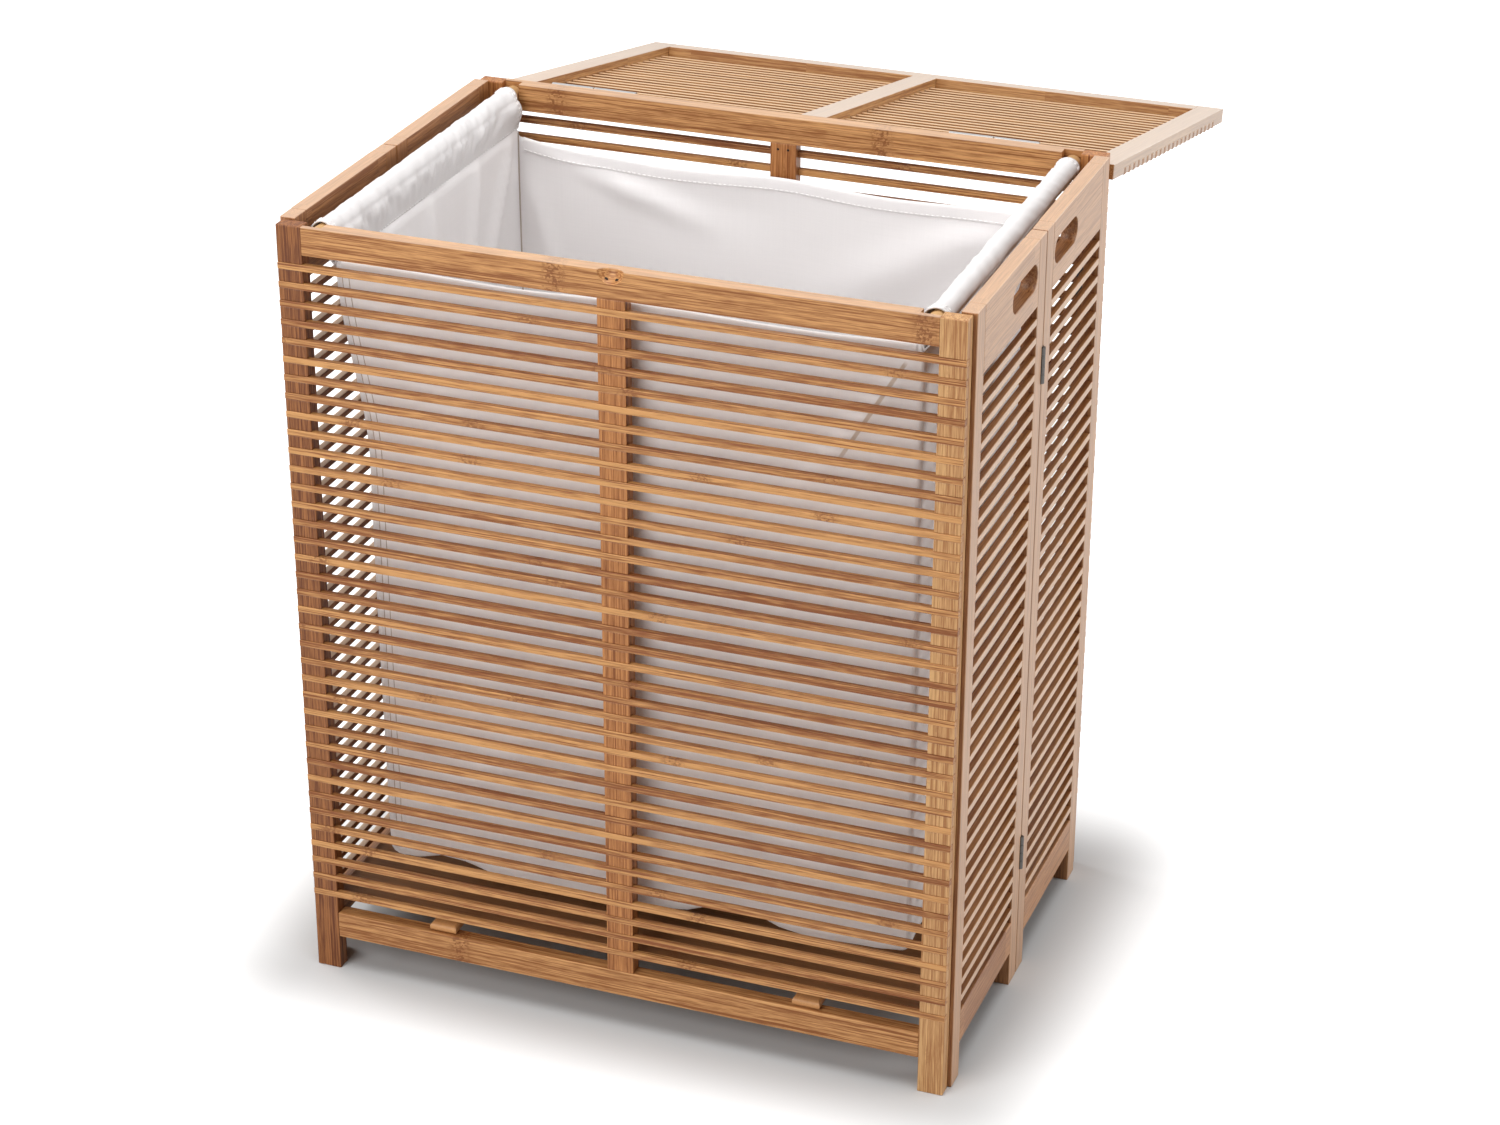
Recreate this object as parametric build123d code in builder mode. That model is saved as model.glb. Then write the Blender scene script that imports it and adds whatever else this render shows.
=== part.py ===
"""A folding bamboo laundry hamper: slatted panels, two-leaf sides, a hinged slatted lid, a drop-in floor and
a cotton liner hung on two rods. The lid stands open. +X is right, +Y runs from front to back, +Z is up."""

import os
from math import cos, radians, sin

from build123d import *

os.makedirs("parts", exist_ok=True)

# overall frame
width = 520.0  # over the posts
depth = 365.0  # from the front face to the rear face
height = 625.0  # to the top of the posts
stock = 12.0  # thickness of every frame piece
post_width = 20.0
rail_height = 21.5
foot_height = 29.5  # ground to the bottom rails
centre_width = 21.5  # centre stiles and the lid's bar

# slats of the front and rear panels, let into the posts
slat_height = 5.0
slat_depth = 5.5
slat_proud = 0.5  # stands out of the posts' face
slat_count = 37
slat_top_gap = 7.5  # under the top rail
slat_low_gap = 14.4  # over the bottom rail, where the floor's tongues go in

# side leaves
leaf_proud = 3.0  # outer face beyond the posts' side
leaf_gap = 1.2  # between a post and its leaf
seam_gap = 1.6  # between the two leaves of a side
leaf_rise = 1.2  # leaf tops above the posts
leaf_stile = 18.0
handle_height = 51.2
leaf_rail_height = 28.0
leaf_slats = 35
leaf_slat_depth = 5.1
leaf_slat_gap = 9.4  # under the handle rail
leaf_low_gap = 8.2  # over the leaf's bottom rail
hand_length, hand_height = 62.0, 21.0
hand_from_seam = 53.0

# lid
lid_overhang = 10.0  # beyond the front face when closed
lid_border = 21.5  # width of its stiles and rails
lid_slats = 22
lid_slat_gap = 12.7  # first and last slats to the rails
lid_tilt = 11.0  # below level when open
lid_gap = 0.3  # over the leaf tops when closed
lid_pin_down = 4.4  # pin axis below the posts' top
lid_stop_gap = 0.37  # open lid's edge to the rear face

# hinges
plate = 1.0
pin_play = 0.06
small_sides = 8  # flats on the barrels of the small hinges
knuckle_gap = 0.4
lid_hinge_run, lid_hinge_inset, lid_barrel, lid_pin = 72.0, 93.5, 4.0, 2.2
lid_knuckle_gap = 1.2
lid_plate_fixed, lid_plate_moving = 12.4, 16.0
corner_run, corner_barrel, corner_pin = 28.5, 2.0, 1.0
corner_plate_post, corner_plate_leaf = 7.2, 12.0
seam_barrel, seam_pin, seam_plate, seam_plate_reach = 1.9, 0.9, 0.6, 9.0
seam_out = 0.3  # pin axis outside the leaves' faces
hinge_foot, hinge_drop = 97.0, 88.5  # lower hinges from the ground, upper ones from the posts' top

# finger scoop in the front rail
scoop_radius, scoop_out = 12.0, 6.0

# liner rods and their pockets in the rails
rod_radius = 6.6
pocket_play = 0.9  # round the rods
pocket_depth = 8.0
pocket_drop = 17.0
rod_play = 0.3

# liner
cloth = 1.4
sleeve_play = 0.4
sleeve_inset = 6.0  # sleeve ends to the panels
bag_taper = 9.0  # that each wall draws in from the rods to the bottom
bag_inset = 8.0  # front and rear walls to the panels
bag_lift = 33.2  # over the floor board
hem_inset = 9.0  # side walls reach round the corners above the hems
hem_drop_front, hem_drop_rear = 35.0, 48.0  # below the posts' top

# floor
batten_width, batten_thick, batten_round = 22.0, 7.0, 2.6
batten_inset = 110.0  # from the posts' side
batten_set_back = 1.8  # tongue end behind the front face
batten_rear_seat = 5.0  # on the rear rail
floor_thick = 4.5
floor_side_gap = 3.5
floor_end_gap = 4.0
floor_seat = 0.3  # battens over the rails

# derived places
tilt = radians(lid_tilt)
half = width / 2
post_x = half - post_width / 2
rail_length = width - 2 * post_width
leaf_top = height + leaf_rise
leaf_face = half + leaf_proud
leaf_inner = leaf_face - stock
lid_drop = leaf_top + lid_gap - (height - lid_pin_down)
lid_pin_back = lid_barrel + knuckle_gap  # pin axis behind the rear face
lid_edge = ((lid_drop + stock) * sin(tilt) - lid_pin_back + lid_stop_gap) / cos(tilt)
lid_depth = depth + lid_pin_back - lid_edge + lid_overhang
lid_hinge_x = half - lid_hinge_inset
corner_seat = corner_barrel + knuckle_gap
hinge_heights = (hinge_foot, height - hinge_drop - corner_run)
reach_back = depth + lid_pin_back + (lid_edge + lid_depth) * cos(tilt) - lid_drop * sin(tilt)
front_y = (slat_proud - reach_back) / 2
rear_y = front_y + depth
front_inner, rear_inner = front_y + stock, rear_y - stock
seam_y = front_y + depth / 2
slat_high = height - rail_height - slat_top_gap - slat_height / 2
slat_low = foot_height + rail_height + slat_low_gap + slat_height / 2
slat_pitch = (slat_high - slat_low) / (slat_count - 1)
slat_mid = (slat_high + slat_low) / 2
inlay = slat_depth - slat_proud
leaf_start = front_inner + leaf_gap
leaf_end = seam_y - seam_gap / 2
handle_low = leaf_top - handle_height
leaf_high = handle_low - leaf_slat_gap - slat_height / 2
leaf_low = foot_height + leaf_rail_height + leaf_low_gap + slat_height / 2
leaf_pitch = (leaf_high - leaf_low) / (leaf_slats - 1)
leaf_open = leaf_end - leaf_start - 2 * leaf_stile
leaf_mid = (leaf_start + leaf_end) / 2
pin_y, pin_z = rear_y + lid_pin_back, height - lid_pin_down
pocket_radius = rod_radius + pocket_play
rod_x = half - post_width - pocket_radius
rod_z = height - pocket_drop + rod_radius + rod_play
rail_top = foot_height + rail_height
batten_x = half - batten_inset
batten_low = rail_top + floor_seat
floor_top = batten_low + batten_thick + floor_thick

# working planes
front_face = Plane.XZ.offset(-front_y)
left_face = Plane(origin=(-leaf_face, 0, 0), x_dir=(0, 1, 0), z_dir=(1, 0, 0))
across = Plane.XZ.offset(-seam_y)  # mirrors front to rear
lid_plane = Plane(origin=(0, pin_y, pin_z), x_dir=(1, 0, 0), z_dir=(0, sin(tilt), cos(tilt)))
lid_inside = lid_plane.offset(-lid_drop)
lid_outside = lid_plane.offset(-lid_drop - stock)


def keep(piece, name):
    """Label a finished piece and write it."""
    piece.part.label = name
    export_step(piece.part, f"parts/{name}.step")


def ring(radius, sides, inside=False):
    """A barrel's outline, round or with flats, which lie outside the radius for a bore."""
    if sides:
        RegularPolygon(radius, sides, major_radius=not inside)
    else:
        Circle(radius)


def hinge_half(plane, run, knuckles, barrel, pin, seat, thick, reach, sides=0):
    """One plate with its knuckles. The plane's X runs along the plate, its Y away from the seat, its Z along
    the pin."""
    clear = barrel + knuckle_gap
    with BuildPart() as piece:
        with BuildSketch(plane):
            with Locations(((clear + reach) / 2, thick / 2 - seat)):
                Rectangle(reach - clear, thick)
        extrude(amount=run)
        for low, high in knuckles:
            with BuildSketch(plane.offset(low)):
                ring(barrel, sides)
                with Locations((clear / 2, thick / 2 - seat)):
                    Rectangle(clear + thick, thick)
                with Locations((0, -seat / 2)):
                    Rectangle(thick, seat)
            extrude(amount=high - low)
        with BuildSketch(plane):
            ring(pin + pin_play, sides, inside=True)
        extrude(amount=run, mode=Mode.SUBTRACT)
    return piece.part


def hinge_pin(plane, run, pin):
    """The round pin of one hinge."""
    with BuildPart() as piece:
        with BuildSketch(plane):
            Circle(pin)
        extrude(amount=run)
    return piece.part


def shares(run, parts, first, gap=knuckle_gap):
    """Every other one of a hinge's equal knuckles, starting with the first or the second."""
    step = run / parts
    return [
        (i * step + gap / 2 * (i > 0), (i + 1) * step - gap / 2 * (i < parts - 1))
        for i in range(first, parts, 2)
    ]


# front and rear panels: posts, centre stile, rails and slats
with BuildPart() as front_left_post:
    with BuildSketch(Plane.XY):
        with Locations((-post_x, front_y + stock / 2)):
            Rectangle(post_width, stock)
    extrude(amount=height)
    with BuildSketch(front_face):
        with Locations((-post_x, slat_mid)):
            with GridLocations(0, slat_pitch, 1, slat_count):
                Rectangle(post_width, slat_height)
    extrude(amount=-inlay, mode=Mode.SUBTRACT)

with BuildPart() as front_right_post:
    mirror(front_left_post.part, about=Plane.YZ)

with BuildPart() as front_centre_stile:
    with BuildSketch(Plane.XY.offset(rail_top)):
        with Locations((0, front_y + stock / 2)):
            Rectangle(centre_width, stock)
    extrude(amount=height - rail_height - rail_top)
    with BuildSketch(front_face):
        with Locations((0, slat_mid)):
            with GridLocations(0, slat_pitch, 1, slat_count):
                Rectangle(centre_width, slat_height)
    extrude(amount=-inlay, mode=Mode.SUBTRACT)

with BuildPart() as plain_top_rail:
    with BuildSketch(front_face):
        with Locations((0, height - rail_height / 2)):
            Rectangle(rail_length, rail_height)
    extrude(amount=-stock)
    # pockets for the rod ends, open to the top and to the inside
    with BuildSketch(front_face.offset(-stock)):
        for x in (-rod_x, rod_x):
            with Locations((x, height - pocket_drop + pocket_radius)):
                Circle(pocket_radius)
            with Locations((x, height - (pocket_drop - pocket_radius) / 2)):
                Rectangle(2 * pocket_radius, pocket_drop - pocket_radius)
    extrude(amount=pocket_depth, mode=Mode.SUBTRACT)

with BuildPart() as front_top_rail:
    add(plain_top_rail.part)
    # finger scoop under the lid's front edge
    with Locations((0, front_y - scoop_out, height)):
        Sphere(scoop_radius, mode=Mode.SUBTRACT)

with BuildPart() as front_bottom_rail:
    with BuildSketch(front_face):
        with Locations((0, foot_height + rail_height / 2)):
            Rectangle(rail_length, rail_height)
    extrude(amount=-stock)

with BuildPart() as front_slats:
    with BuildSketch(front_face.offset(slat_proud)):
        with Locations((0, slat_mid)):
            with GridLocations(0, slat_pitch, 1, slat_count):
                Rectangle(width, slat_height)
    extrude(amount=-slat_depth)

with BuildPart() as rear_left_post:
    mirror(front_left_post.part, about=across)
with BuildPart() as rear_right_post:
    mirror(front_right_post.part, about=across)
with BuildPart() as rear_centre_stile:
    mirror(front_centre_stile.part, about=across)
with BuildPart() as rear_bottom_rail:
    mirror(front_bottom_rail.part, about=across)
with BuildPart() as rear_slats:
    mirror(front_slats.part, about=across)

with BuildPart() as rear_top_rail:
    mirror(plain_top_rail.part, about=across)

for piece, name in (
    (front_left_post, "front_left_post"),
    (front_right_post, "front_right_post"),
    (front_centre_stile, "front_centre_stile"),
    (front_top_rail, "front_top_rail"),
    (front_bottom_rail, "front_bottom_rail"),
    (front_slats, "front_slats"),
    (rear_left_post, "rear_left_post"),
    (rear_right_post, "rear_right_post"),
    (rear_centre_stile, "rear_centre_stile"),
    (rear_top_rail, "rear_top_rail"),
    (rear_bottom_rail, "rear_bottom_rail"),
    (rear_slats, "rear_slats"),
):
    keep(piece, name)

# front left leaf of the side, then its mirror images
with BuildPart() as corner_stile:
    with BuildSketch(left_face):
        with Locations((leaf_start + leaf_stile / 2, leaf_top / 2)):
            Rectangle(leaf_stile, leaf_top)
    extrude(amount=stock)

seam_relief = seam_barrel + knuckle_gap
with BuildPart() as seam_stile:
    with BuildSketch(left_face):
        with Locations((leaf_end - leaf_stile / 2, leaf_top / 2)):
            Rectangle(leaf_stile, leaf_top)
    extrude(amount=stock)
    # reliefs for the hinge barrels at the outer edge
    with BuildSketch(left_face):
        for low in hinge_heights:
            with Locations((seam_y, low + corner_run / 2)):
                Rectangle(2 * seam_relief, corner_run + 2 * knuckle_gap)
    extrude(amount=seam_relief - seam_out, mode=Mode.SUBTRACT)

with BuildPart() as handle_rail:
    with BuildSketch(left_face):
        with Locations((leaf_mid, leaf_top - handle_height / 2)):
            Rectangle(leaf_open, handle_height)
        with Locations((seam_y - hand_from_seam, leaf_top - handle_height / 2)):
            SlotOverall(hand_length, hand_height, mode=Mode.SUBTRACT)
    extrude(amount=stock)

with BuildPart() as bottom_rail:
    with BuildSketch(left_face):
        with Locations((leaf_mid, foot_height + leaf_rail_height / 2)):
            Rectangle(leaf_open, leaf_rail_height)
    extrude(amount=stock)

# the left side's slats lie flush with its inner face, the right side's with its outer face
with BuildPart() as inner_slats:
    with BuildSketch(left_face.offset(stock - leaf_slat_depth)):
        with Locations((leaf_mid, (leaf_high + leaf_low) / 2)):
            with GridLocations(0, leaf_pitch, 1, leaf_slats):
                Rectangle(leaf_open, slat_height)
    extrude(amount=leaf_slat_depth)

with BuildPart() as outer_slats:
    with BuildSketch(left_face):
        with Locations((leaf_mid, (leaf_high + leaf_low) / 2)):
            with GridLocations(0, leaf_pitch, 1, leaf_slats):
                Rectangle(leaf_open, slat_height)
    extrude(amount=leaf_slat_depth)

# hinges of the front left leaf: the corner pins stand inside, the seam pins outside
corner_pin_x, corner_pin_y = leaf_inner - corner_seat, front_inner + corner_seat
seam_pin_x = leaf_face + seam_out
post_halves, leaf_halves, corner_rods, seam_rods, seam_fronts, seam_rears = [], [], [], [], [], []
for low in hinge_heights:
    at_corner = (-corner_pin_x, corner_pin_y, low)
    on_post = Plane(origin=at_corner, x_dir=(1, 0, 0), z_dir=(0, 0, 1))
    on_leaf = Plane(origin=(*at_corner[:2], low + corner_run), x_dir=(0, 1, 0), z_dir=(0, 0, -1))
    corner = (corner_barrel, corner_pin, corner_seat, plate)
    knuckles = shares(corner_run, 2, 0)
    post_halves.append(hinge_half(on_post, corner_run, knuckles, *corner, corner_plate_post, small_sides))
    leaf_halves.append(hinge_half(on_leaf, corner_run, knuckles, *corner, corner_plate_leaf, small_sides))
    corner_rods.append(hinge_pin(on_post, corner_run, corner_pin))

    at_seam = (-seam_pin_x, seam_y, low)
    on_front = Plane(origin=at_seam, x_dir=(1, 0, 0), z_dir=(0, 0, 1))
    on_rear = Plane(origin=(*at_seam[:2], low + corner_run), x_dir=(1, 0, 0), z_dir=(0, 0, -1))
    seam = (seam_barrel, seam_pin, seam_gap / 2, seam_plate, seam_plate_reach)
    knuckles = shares(corner_run, 4, 0)
    seam_fronts.append(hinge_half(on_front, corner_run, knuckles, *seam, small_sides))
    seam_rears.append(hinge_half(on_rear, corner_run, knuckles, *seam, small_sides))
    seam_rods.append(hinge_pin(on_front, corner_run, seam_pin))

with BuildPart() as front_leaf_hinges:
    add(leaf_halves)
    add(seam_fronts)
with BuildPart() as rear_leaf_hinges:
    mirror(leaf_halves, about=across)
    add(seam_rears)

for left, right, name in (
    (corner_stile, corner_stile, "corner_stile"),
    (seam_stile, seam_stile, "seam_stile"),
    (handle_rail, handle_rail, "handle_rail"),
    (bottom_rail, bottom_rail, "bottom_rail"),
    (inner_slats, outer_slats, "slats"),
):
    keep(left, f"front_left_leaf_{name}")
    with BuildPart() as other:
        mirror(left.part, about=across)
    keep(other, f"rear_left_leaf_{name}")
    with BuildPart() as other:
        mirror(right.part, about=Plane.YZ)
    keep(other, f"front_right_leaf_{name}")
    with BuildPart() as other:
        mirror(mirror(right.part, about=across, mode=Mode.PRIVATE), about=Plane.YZ)
    keep(other, f"rear_right_leaf_{name}")

keep(front_leaf_hinges, "front_left_leaf_hinge_plates")
keep(rear_leaf_hinges, "rear_left_leaf_hinge_plates")
with BuildPart() as front_right_hinges:
    mirror(front_leaf_hinges.part, about=Plane.YZ)
keep(front_right_hinges, "front_right_leaf_hinge_plates")
with BuildPart() as rear_right_hinges:
    mirror(rear_leaf_hinges.part, about=Plane.YZ)
keep(rear_right_hinges, "rear_right_leaf_hinge_plates")

with BuildPart() as left_seam_pins:
    add(seam_rods)
keep(left_seam_pins, "left_seam_hinge_pins")
with BuildPart() as right_seam_pins:
    mirror(left_seam_pins.part, about=Plane.YZ)
keep(right_seam_pins, "right_seam_hinge_pins")

with BuildPart() as front_corner_plates:
    add(post_halves)
    mirror(post_halves, about=Plane.YZ)
keep(front_corner_plates, "front_corner_hinge_plates")
with BuildPart() as rear_corner_plates:
    mirror(front_corner_plates.part, about=across)
keep(rear_corner_plates, "rear_corner_hinge_plates")
with BuildPart() as front_corner_pins:
    add(corner_rods)
    mirror(corner_rods, about=Plane.YZ)
keep(front_corner_pins, "front_corner_hinge_pins")
with BuildPart() as rear_corner_pins:
    mirror(front_corner_pins.part, about=across)
keep(rear_corner_pins, "rear_corner_hinge_pins")

# lid, drawn on its own plane: local X across, local Y away from the pins
lid_far = lid_edge + lid_depth
lid_mid = lid_edge + lid_depth / 2
lid_across = 2 * leaf_face
bar_length = lid_depth - 2 * lid_border
lid_rail_length = lid_across - 2 * lid_border
lid_slat_pitch = (bar_length - 2 * lid_slat_gap - slat_height) / (lid_slats - 1)

with BuildPart() as lid_left_stile:
    with BuildSketch(lid_inside):
        with Locations((lid_border / 2 - leaf_face, lid_mid)):
            Rectangle(lid_border, lid_depth)
    extrude(amount=-stock)
    with BuildSketch(lid_outside):
        with Locations((lid_border / 2 - leaf_face, lid_mid)):
            with GridLocations(0, lid_slat_pitch, 1, lid_slats):
                Rectangle(lid_border, slat_height)
    extrude(amount=inlay, mode=Mode.SUBTRACT)
keep(lid_left_stile, "lid_left_stile")

with BuildPart() as lid_right_stile:
    mirror(lid_left_stile.part, about=Plane.YZ)
keep(lid_right_stile, "lid_right_stile")

with BuildPart() as lid_centre_bar:
    with BuildSketch(lid_inside):
        with Locations((0, lid_mid)):
            Rectangle(centre_width, bar_length)
    extrude(amount=-stock)
    with BuildSketch(lid_outside):
        with Locations((0, lid_mid)):
            with GridLocations(0, lid_slat_pitch, 1, lid_slats):
                Rectangle(centre_width, slat_height)
    extrude(amount=inlay, mode=Mode.SUBTRACT)
keep(lid_centre_bar, "lid_centre_bar")

with BuildPart() as lid_front_rail:
    with BuildSketch(lid_inside):
        with Locations((0, lid_far - lid_border / 2)):
            Rectangle(lid_rail_length, lid_border)
    extrude(amount=-stock)
keep(lid_front_rail, "lid_front_rail")

with BuildPart() as lid_rear_rail:
    with BuildSketch(lid_inside):
        with Locations((0, lid_edge + lid_border / 2)):
            Rectangle(lid_rail_length, lid_border)
    extrude(amount=-stock)
keep(lid_rear_rail, "lid_rear_rail")

with BuildPart() as lid_slat_set:
    with BuildSketch(lid_outside.offset(-slat_proud)):
        with Locations((0, lid_mid)):
            with GridLocations(0, lid_slat_pitch, 1, lid_slats):
                Rectangle(lid_across, slat_height)
    extrude(amount=slat_depth)
keep(lid_slat_set, "lid_slats")

# lid hinges: plates on the rear rail's back and on the lid's inner face, one knuckle each
fixed_halves, moving_halves, lid_rods = [], [], []
for x in (-lid_hinge_x, lid_hinge_x):
    start = (x - lid_hinge_run / 2, pin_y, pin_z)
    on_rail = Plane(origin=start, x_dir=(0, 0, -1), z_dir=(1, 0, 0))
    on_lid = Plane(origin=start, x_dir=lid_plane.y_dir, z_dir=(1, 0, 0))
    fixed_halves.append(
        hinge_half(
            on_rail, lid_hinge_run, shares(lid_hinge_run, 2, 0, lid_knuckle_gap), lid_barrel, lid_pin,
            lid_pin_back, plate, lid_plate_fixed,
        )
    )
    moving_halves.append(
        hinge_half(
            on_lid, lid_hinge_run, shares(lid_hinge_run, 2, 1, lid_knuckle_gap), lid_barrel, lid_pin,
            lid_drop, plate, lid_plate_moving,
        )
    )
    lid_rods.append(hinge_pin(on_rail, lid_hinge_run, lid_pin))

with BuildPart() as rear_lid_plates:
    add(fixed_halves)
keep(rear_lid_plates, "rear_lid_hinge_plates")

with BuildPart() as lid_plates:
    add(moving_halves)
keep(lid_plates, "lid_hinge_plates")

with BuildPart() as lid_pins:
    add(lid_rods)
keep(lid_pins, "lid_hinge_pins")

# floor: a thin board on two battens, whose rounded front ends are the tongues on the front rail
batten_start = front_y + batten_set_back
batten_run = depth - stock + batten_rear_seat - batten_set_back
with BuildPart() as floor_battens:
    with BuildSketch(Plane.XZ.offset(-batten_start)):
        with Locations((-batten_x, batten_low + batten_thick / 2), (batten_x, batten_low + batten_thick / 2)):
            RectangleRounded(batten_width, batten_thick, batten_round)
    extrude(amount=-batten_run)
    with BuildSketch(Plane.YZ.offset(-half)):
        with Locations((batten_start + batten_run / 2, batten_low + batten_thick / 2)):
            SlotOverall(batten_run, batten_thick)
    extrude(amount=width, mode=Mode.INTERSECT)
keep(floor_battens, "floor_battens")

with BuildPart() as floor_board:
    with BuildSketch(Plane.XY.offset(batten_low + batten_thick)):
        with Locations((0, seam_y)):
            Rectangle(2 * (leaf_inner - floor_side_gap), depth - 2 * (stock + floor_end_gap))
    extrude(amount=floor_thick)
keep(floor_board, "floor_board")

# liner: rods in the pockets, and an open bag with a sleeve round each rod
rod_start = front_inner - pocket_depth + 1
rod_run = rear_inner + pocket_depth - 1 - rod_start
with BuildPart() as left_rod:
    with BuildSketch(Plane.XZ.offset(-rod_start)):
        with Locations((-rod_x, rod_z)):
            Circle(rod_radius)
    extrude(amount=-rod_run)
keep(left_rod, "left_liner_rod")
with BuildPart() as right_rod:
    mirror(left_rod.part, about=Plane.YZ)
keep(right_rod, "right_liner_rod")

sleeve_bore = rod_radius + sleeve_play
sleeve_start = front_inner + sleeve_inset
sleeve_run = depth - 2 * (stock + sleeve_inset)
bag_top = rod_z - sleeve_bore
bag_bottom = floor_top + bag_lift
bag_across, bag_along = 2 * rod_x + cloth, depth - 2 * (stock + bag_inset)


def drawn_in(wall):
    """The bag's outer form, or its hollow one cloth inside it: two tapered profiles that cross."""
    across = bag_across / 2 - wall
    along = bag_along / 2 - wall
    with BuildPart() as piece:
        with BuildSketch(front_face):
            with BuildLine():
                Polyline(
                    (bag_taper - across, bag_bottom + wall), (across - bag_taper, bag_bottom + wall),
                    (across, bag_top), (-across, bag_top), close=True,
                )
            make_face()
        extrude(amount=-depth)
        with BuildSketch(Plane.YZ.offset(-half)):
            with BuildLine():
                Polyline(
                    (seam_y + bag_taper - along, bag_bottom + wall),
                    (seam_y + along - bag_taper, bag_bottom + wall),
                    (seam_y + along, bag_top), (seam_y - along, bag_top), close=True,
                )
            make_face()
        extrude(amount=width, mode=Mode.INTERSECT)
    return piece.part


with BuildPart() as liner_bag:
    add(drawn_in(0))
    add(drawn_in(cloth), mode=Mode.SUBTRACT)
    # lower hems at the front and the rear, between the side walls
    for wall_y, drop in ((front_inner + bag_inset, hem_drop_front), (rear_inner - bag_inset, hem_drop_rear)):
        hem = height - drop
        with BuildSketch(Plane.XY.offset(hem)):
            with Locations((0, wall_y)):
                Rectangle(bag_across - 2 * hem_inset, 4 * hem_inset)
        extrude(amount=bag_top - hem, mode=Mode.SUBTRACT)
    for x in (-rod_x, rod_x):
        with BuildSketch(Plane.XZ.offset(-sleeve_start)):
            with Locations((x, rod_z)):
                Circle(sleeve_bore + cloth)
        extrude(amount=-sleeve_run)
        with BuildSketch(Plane.XZ.offset(-sleeve_start)):
            with Locations((x, rod_z)):
                Circle(sleeve_bore)
        extrude(amount=-sleeve_run, mode=Mode.SUBTRACT)
keep(liner_bag, "liner_bag")
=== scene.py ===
"""Looks of a folding bamboo laundry hamper: wood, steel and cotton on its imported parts, its sewn liner, and a plain
studio. Lengths are in metres, +X is right, +Y runs from the front to the open lid, +Z is up."""

from math import cos, pi, radians, sin

import bpy
import numpy as np
from bpy.props import FloatProperty, FloatVectorProperty, PointerProperty
from mathutils import Euler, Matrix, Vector


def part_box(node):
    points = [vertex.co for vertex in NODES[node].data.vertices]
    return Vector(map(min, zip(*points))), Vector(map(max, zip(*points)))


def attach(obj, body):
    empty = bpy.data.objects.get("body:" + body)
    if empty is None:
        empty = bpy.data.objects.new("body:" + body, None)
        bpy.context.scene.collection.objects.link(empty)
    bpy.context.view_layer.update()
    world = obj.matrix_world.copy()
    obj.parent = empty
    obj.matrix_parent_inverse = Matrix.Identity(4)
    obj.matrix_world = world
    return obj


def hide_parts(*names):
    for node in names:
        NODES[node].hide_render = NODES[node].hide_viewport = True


bl_info = {
    "name": "Bamboo laundry hamper",
    "version": (1, 0, 0),
    "blender": (4, 5, 0),
    "location": "View3D > Sidebar > Hamper",
    "description": "Finishes a folding slatted hamper: bamboo, hinges, liner and studio",
    "category": "Object",
}

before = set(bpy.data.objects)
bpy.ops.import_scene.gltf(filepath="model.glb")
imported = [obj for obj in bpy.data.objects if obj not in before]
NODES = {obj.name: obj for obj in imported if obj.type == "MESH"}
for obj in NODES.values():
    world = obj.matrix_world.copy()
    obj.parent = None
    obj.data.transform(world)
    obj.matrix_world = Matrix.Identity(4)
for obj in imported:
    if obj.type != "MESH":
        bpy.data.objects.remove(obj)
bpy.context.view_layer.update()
MM = 0.001

# places that the liner and the fittings are built from
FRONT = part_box("front_left_post")[0].y
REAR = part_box("rear_left_post")[1].y
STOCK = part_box("front_left_post")[1].y - FRONT
SEAM_Y = (FRONT + REAR) / 2
ROD_LOW, ROD_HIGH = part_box("right_liner_rod")
ROD = (ROD_LOW + ROD_HIGH) / 2
ROD_RADIUS = (ROD_HIGH.z - ROD_LOW.z) / 2
BAG_LOW, BAG_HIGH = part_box("liner_bag")
LEAF_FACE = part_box("front_right_leaf_handle_rail")[1].x
LEAF_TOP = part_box("front_right_leaf_handle_rail")[1].z
PANEL_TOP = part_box("front_top_rail")[1].z
SLAT_PITCH = 14.6 * MM
LEAF_PITCH = 14.556 * MM
LID_TILT = radians(11)

# depths under a face within which it still takes the painted highlight
SKIN = 0.3 * MM
THIN_SKIN = 0.2 * MM
# for faces at every pitch: slack over the face, and the shares of a pitch between which its painted highlight ends
FACE_SLACK = 0.1 * MM
FACE_FULL, FACE_END = 0.025, 0.035


def length(name, description, default):
    """A size that a user may change."""
    return FloatProperty(name=name, description=description, default=default, unit="LENGTH")


def paint(name, description, default):
    """A colour that a user may change."""
    return FloatVectorProperty(
        name=name, description=description, default=default, subtype="COLOR", size=3, min=0, max=1
    )


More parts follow.
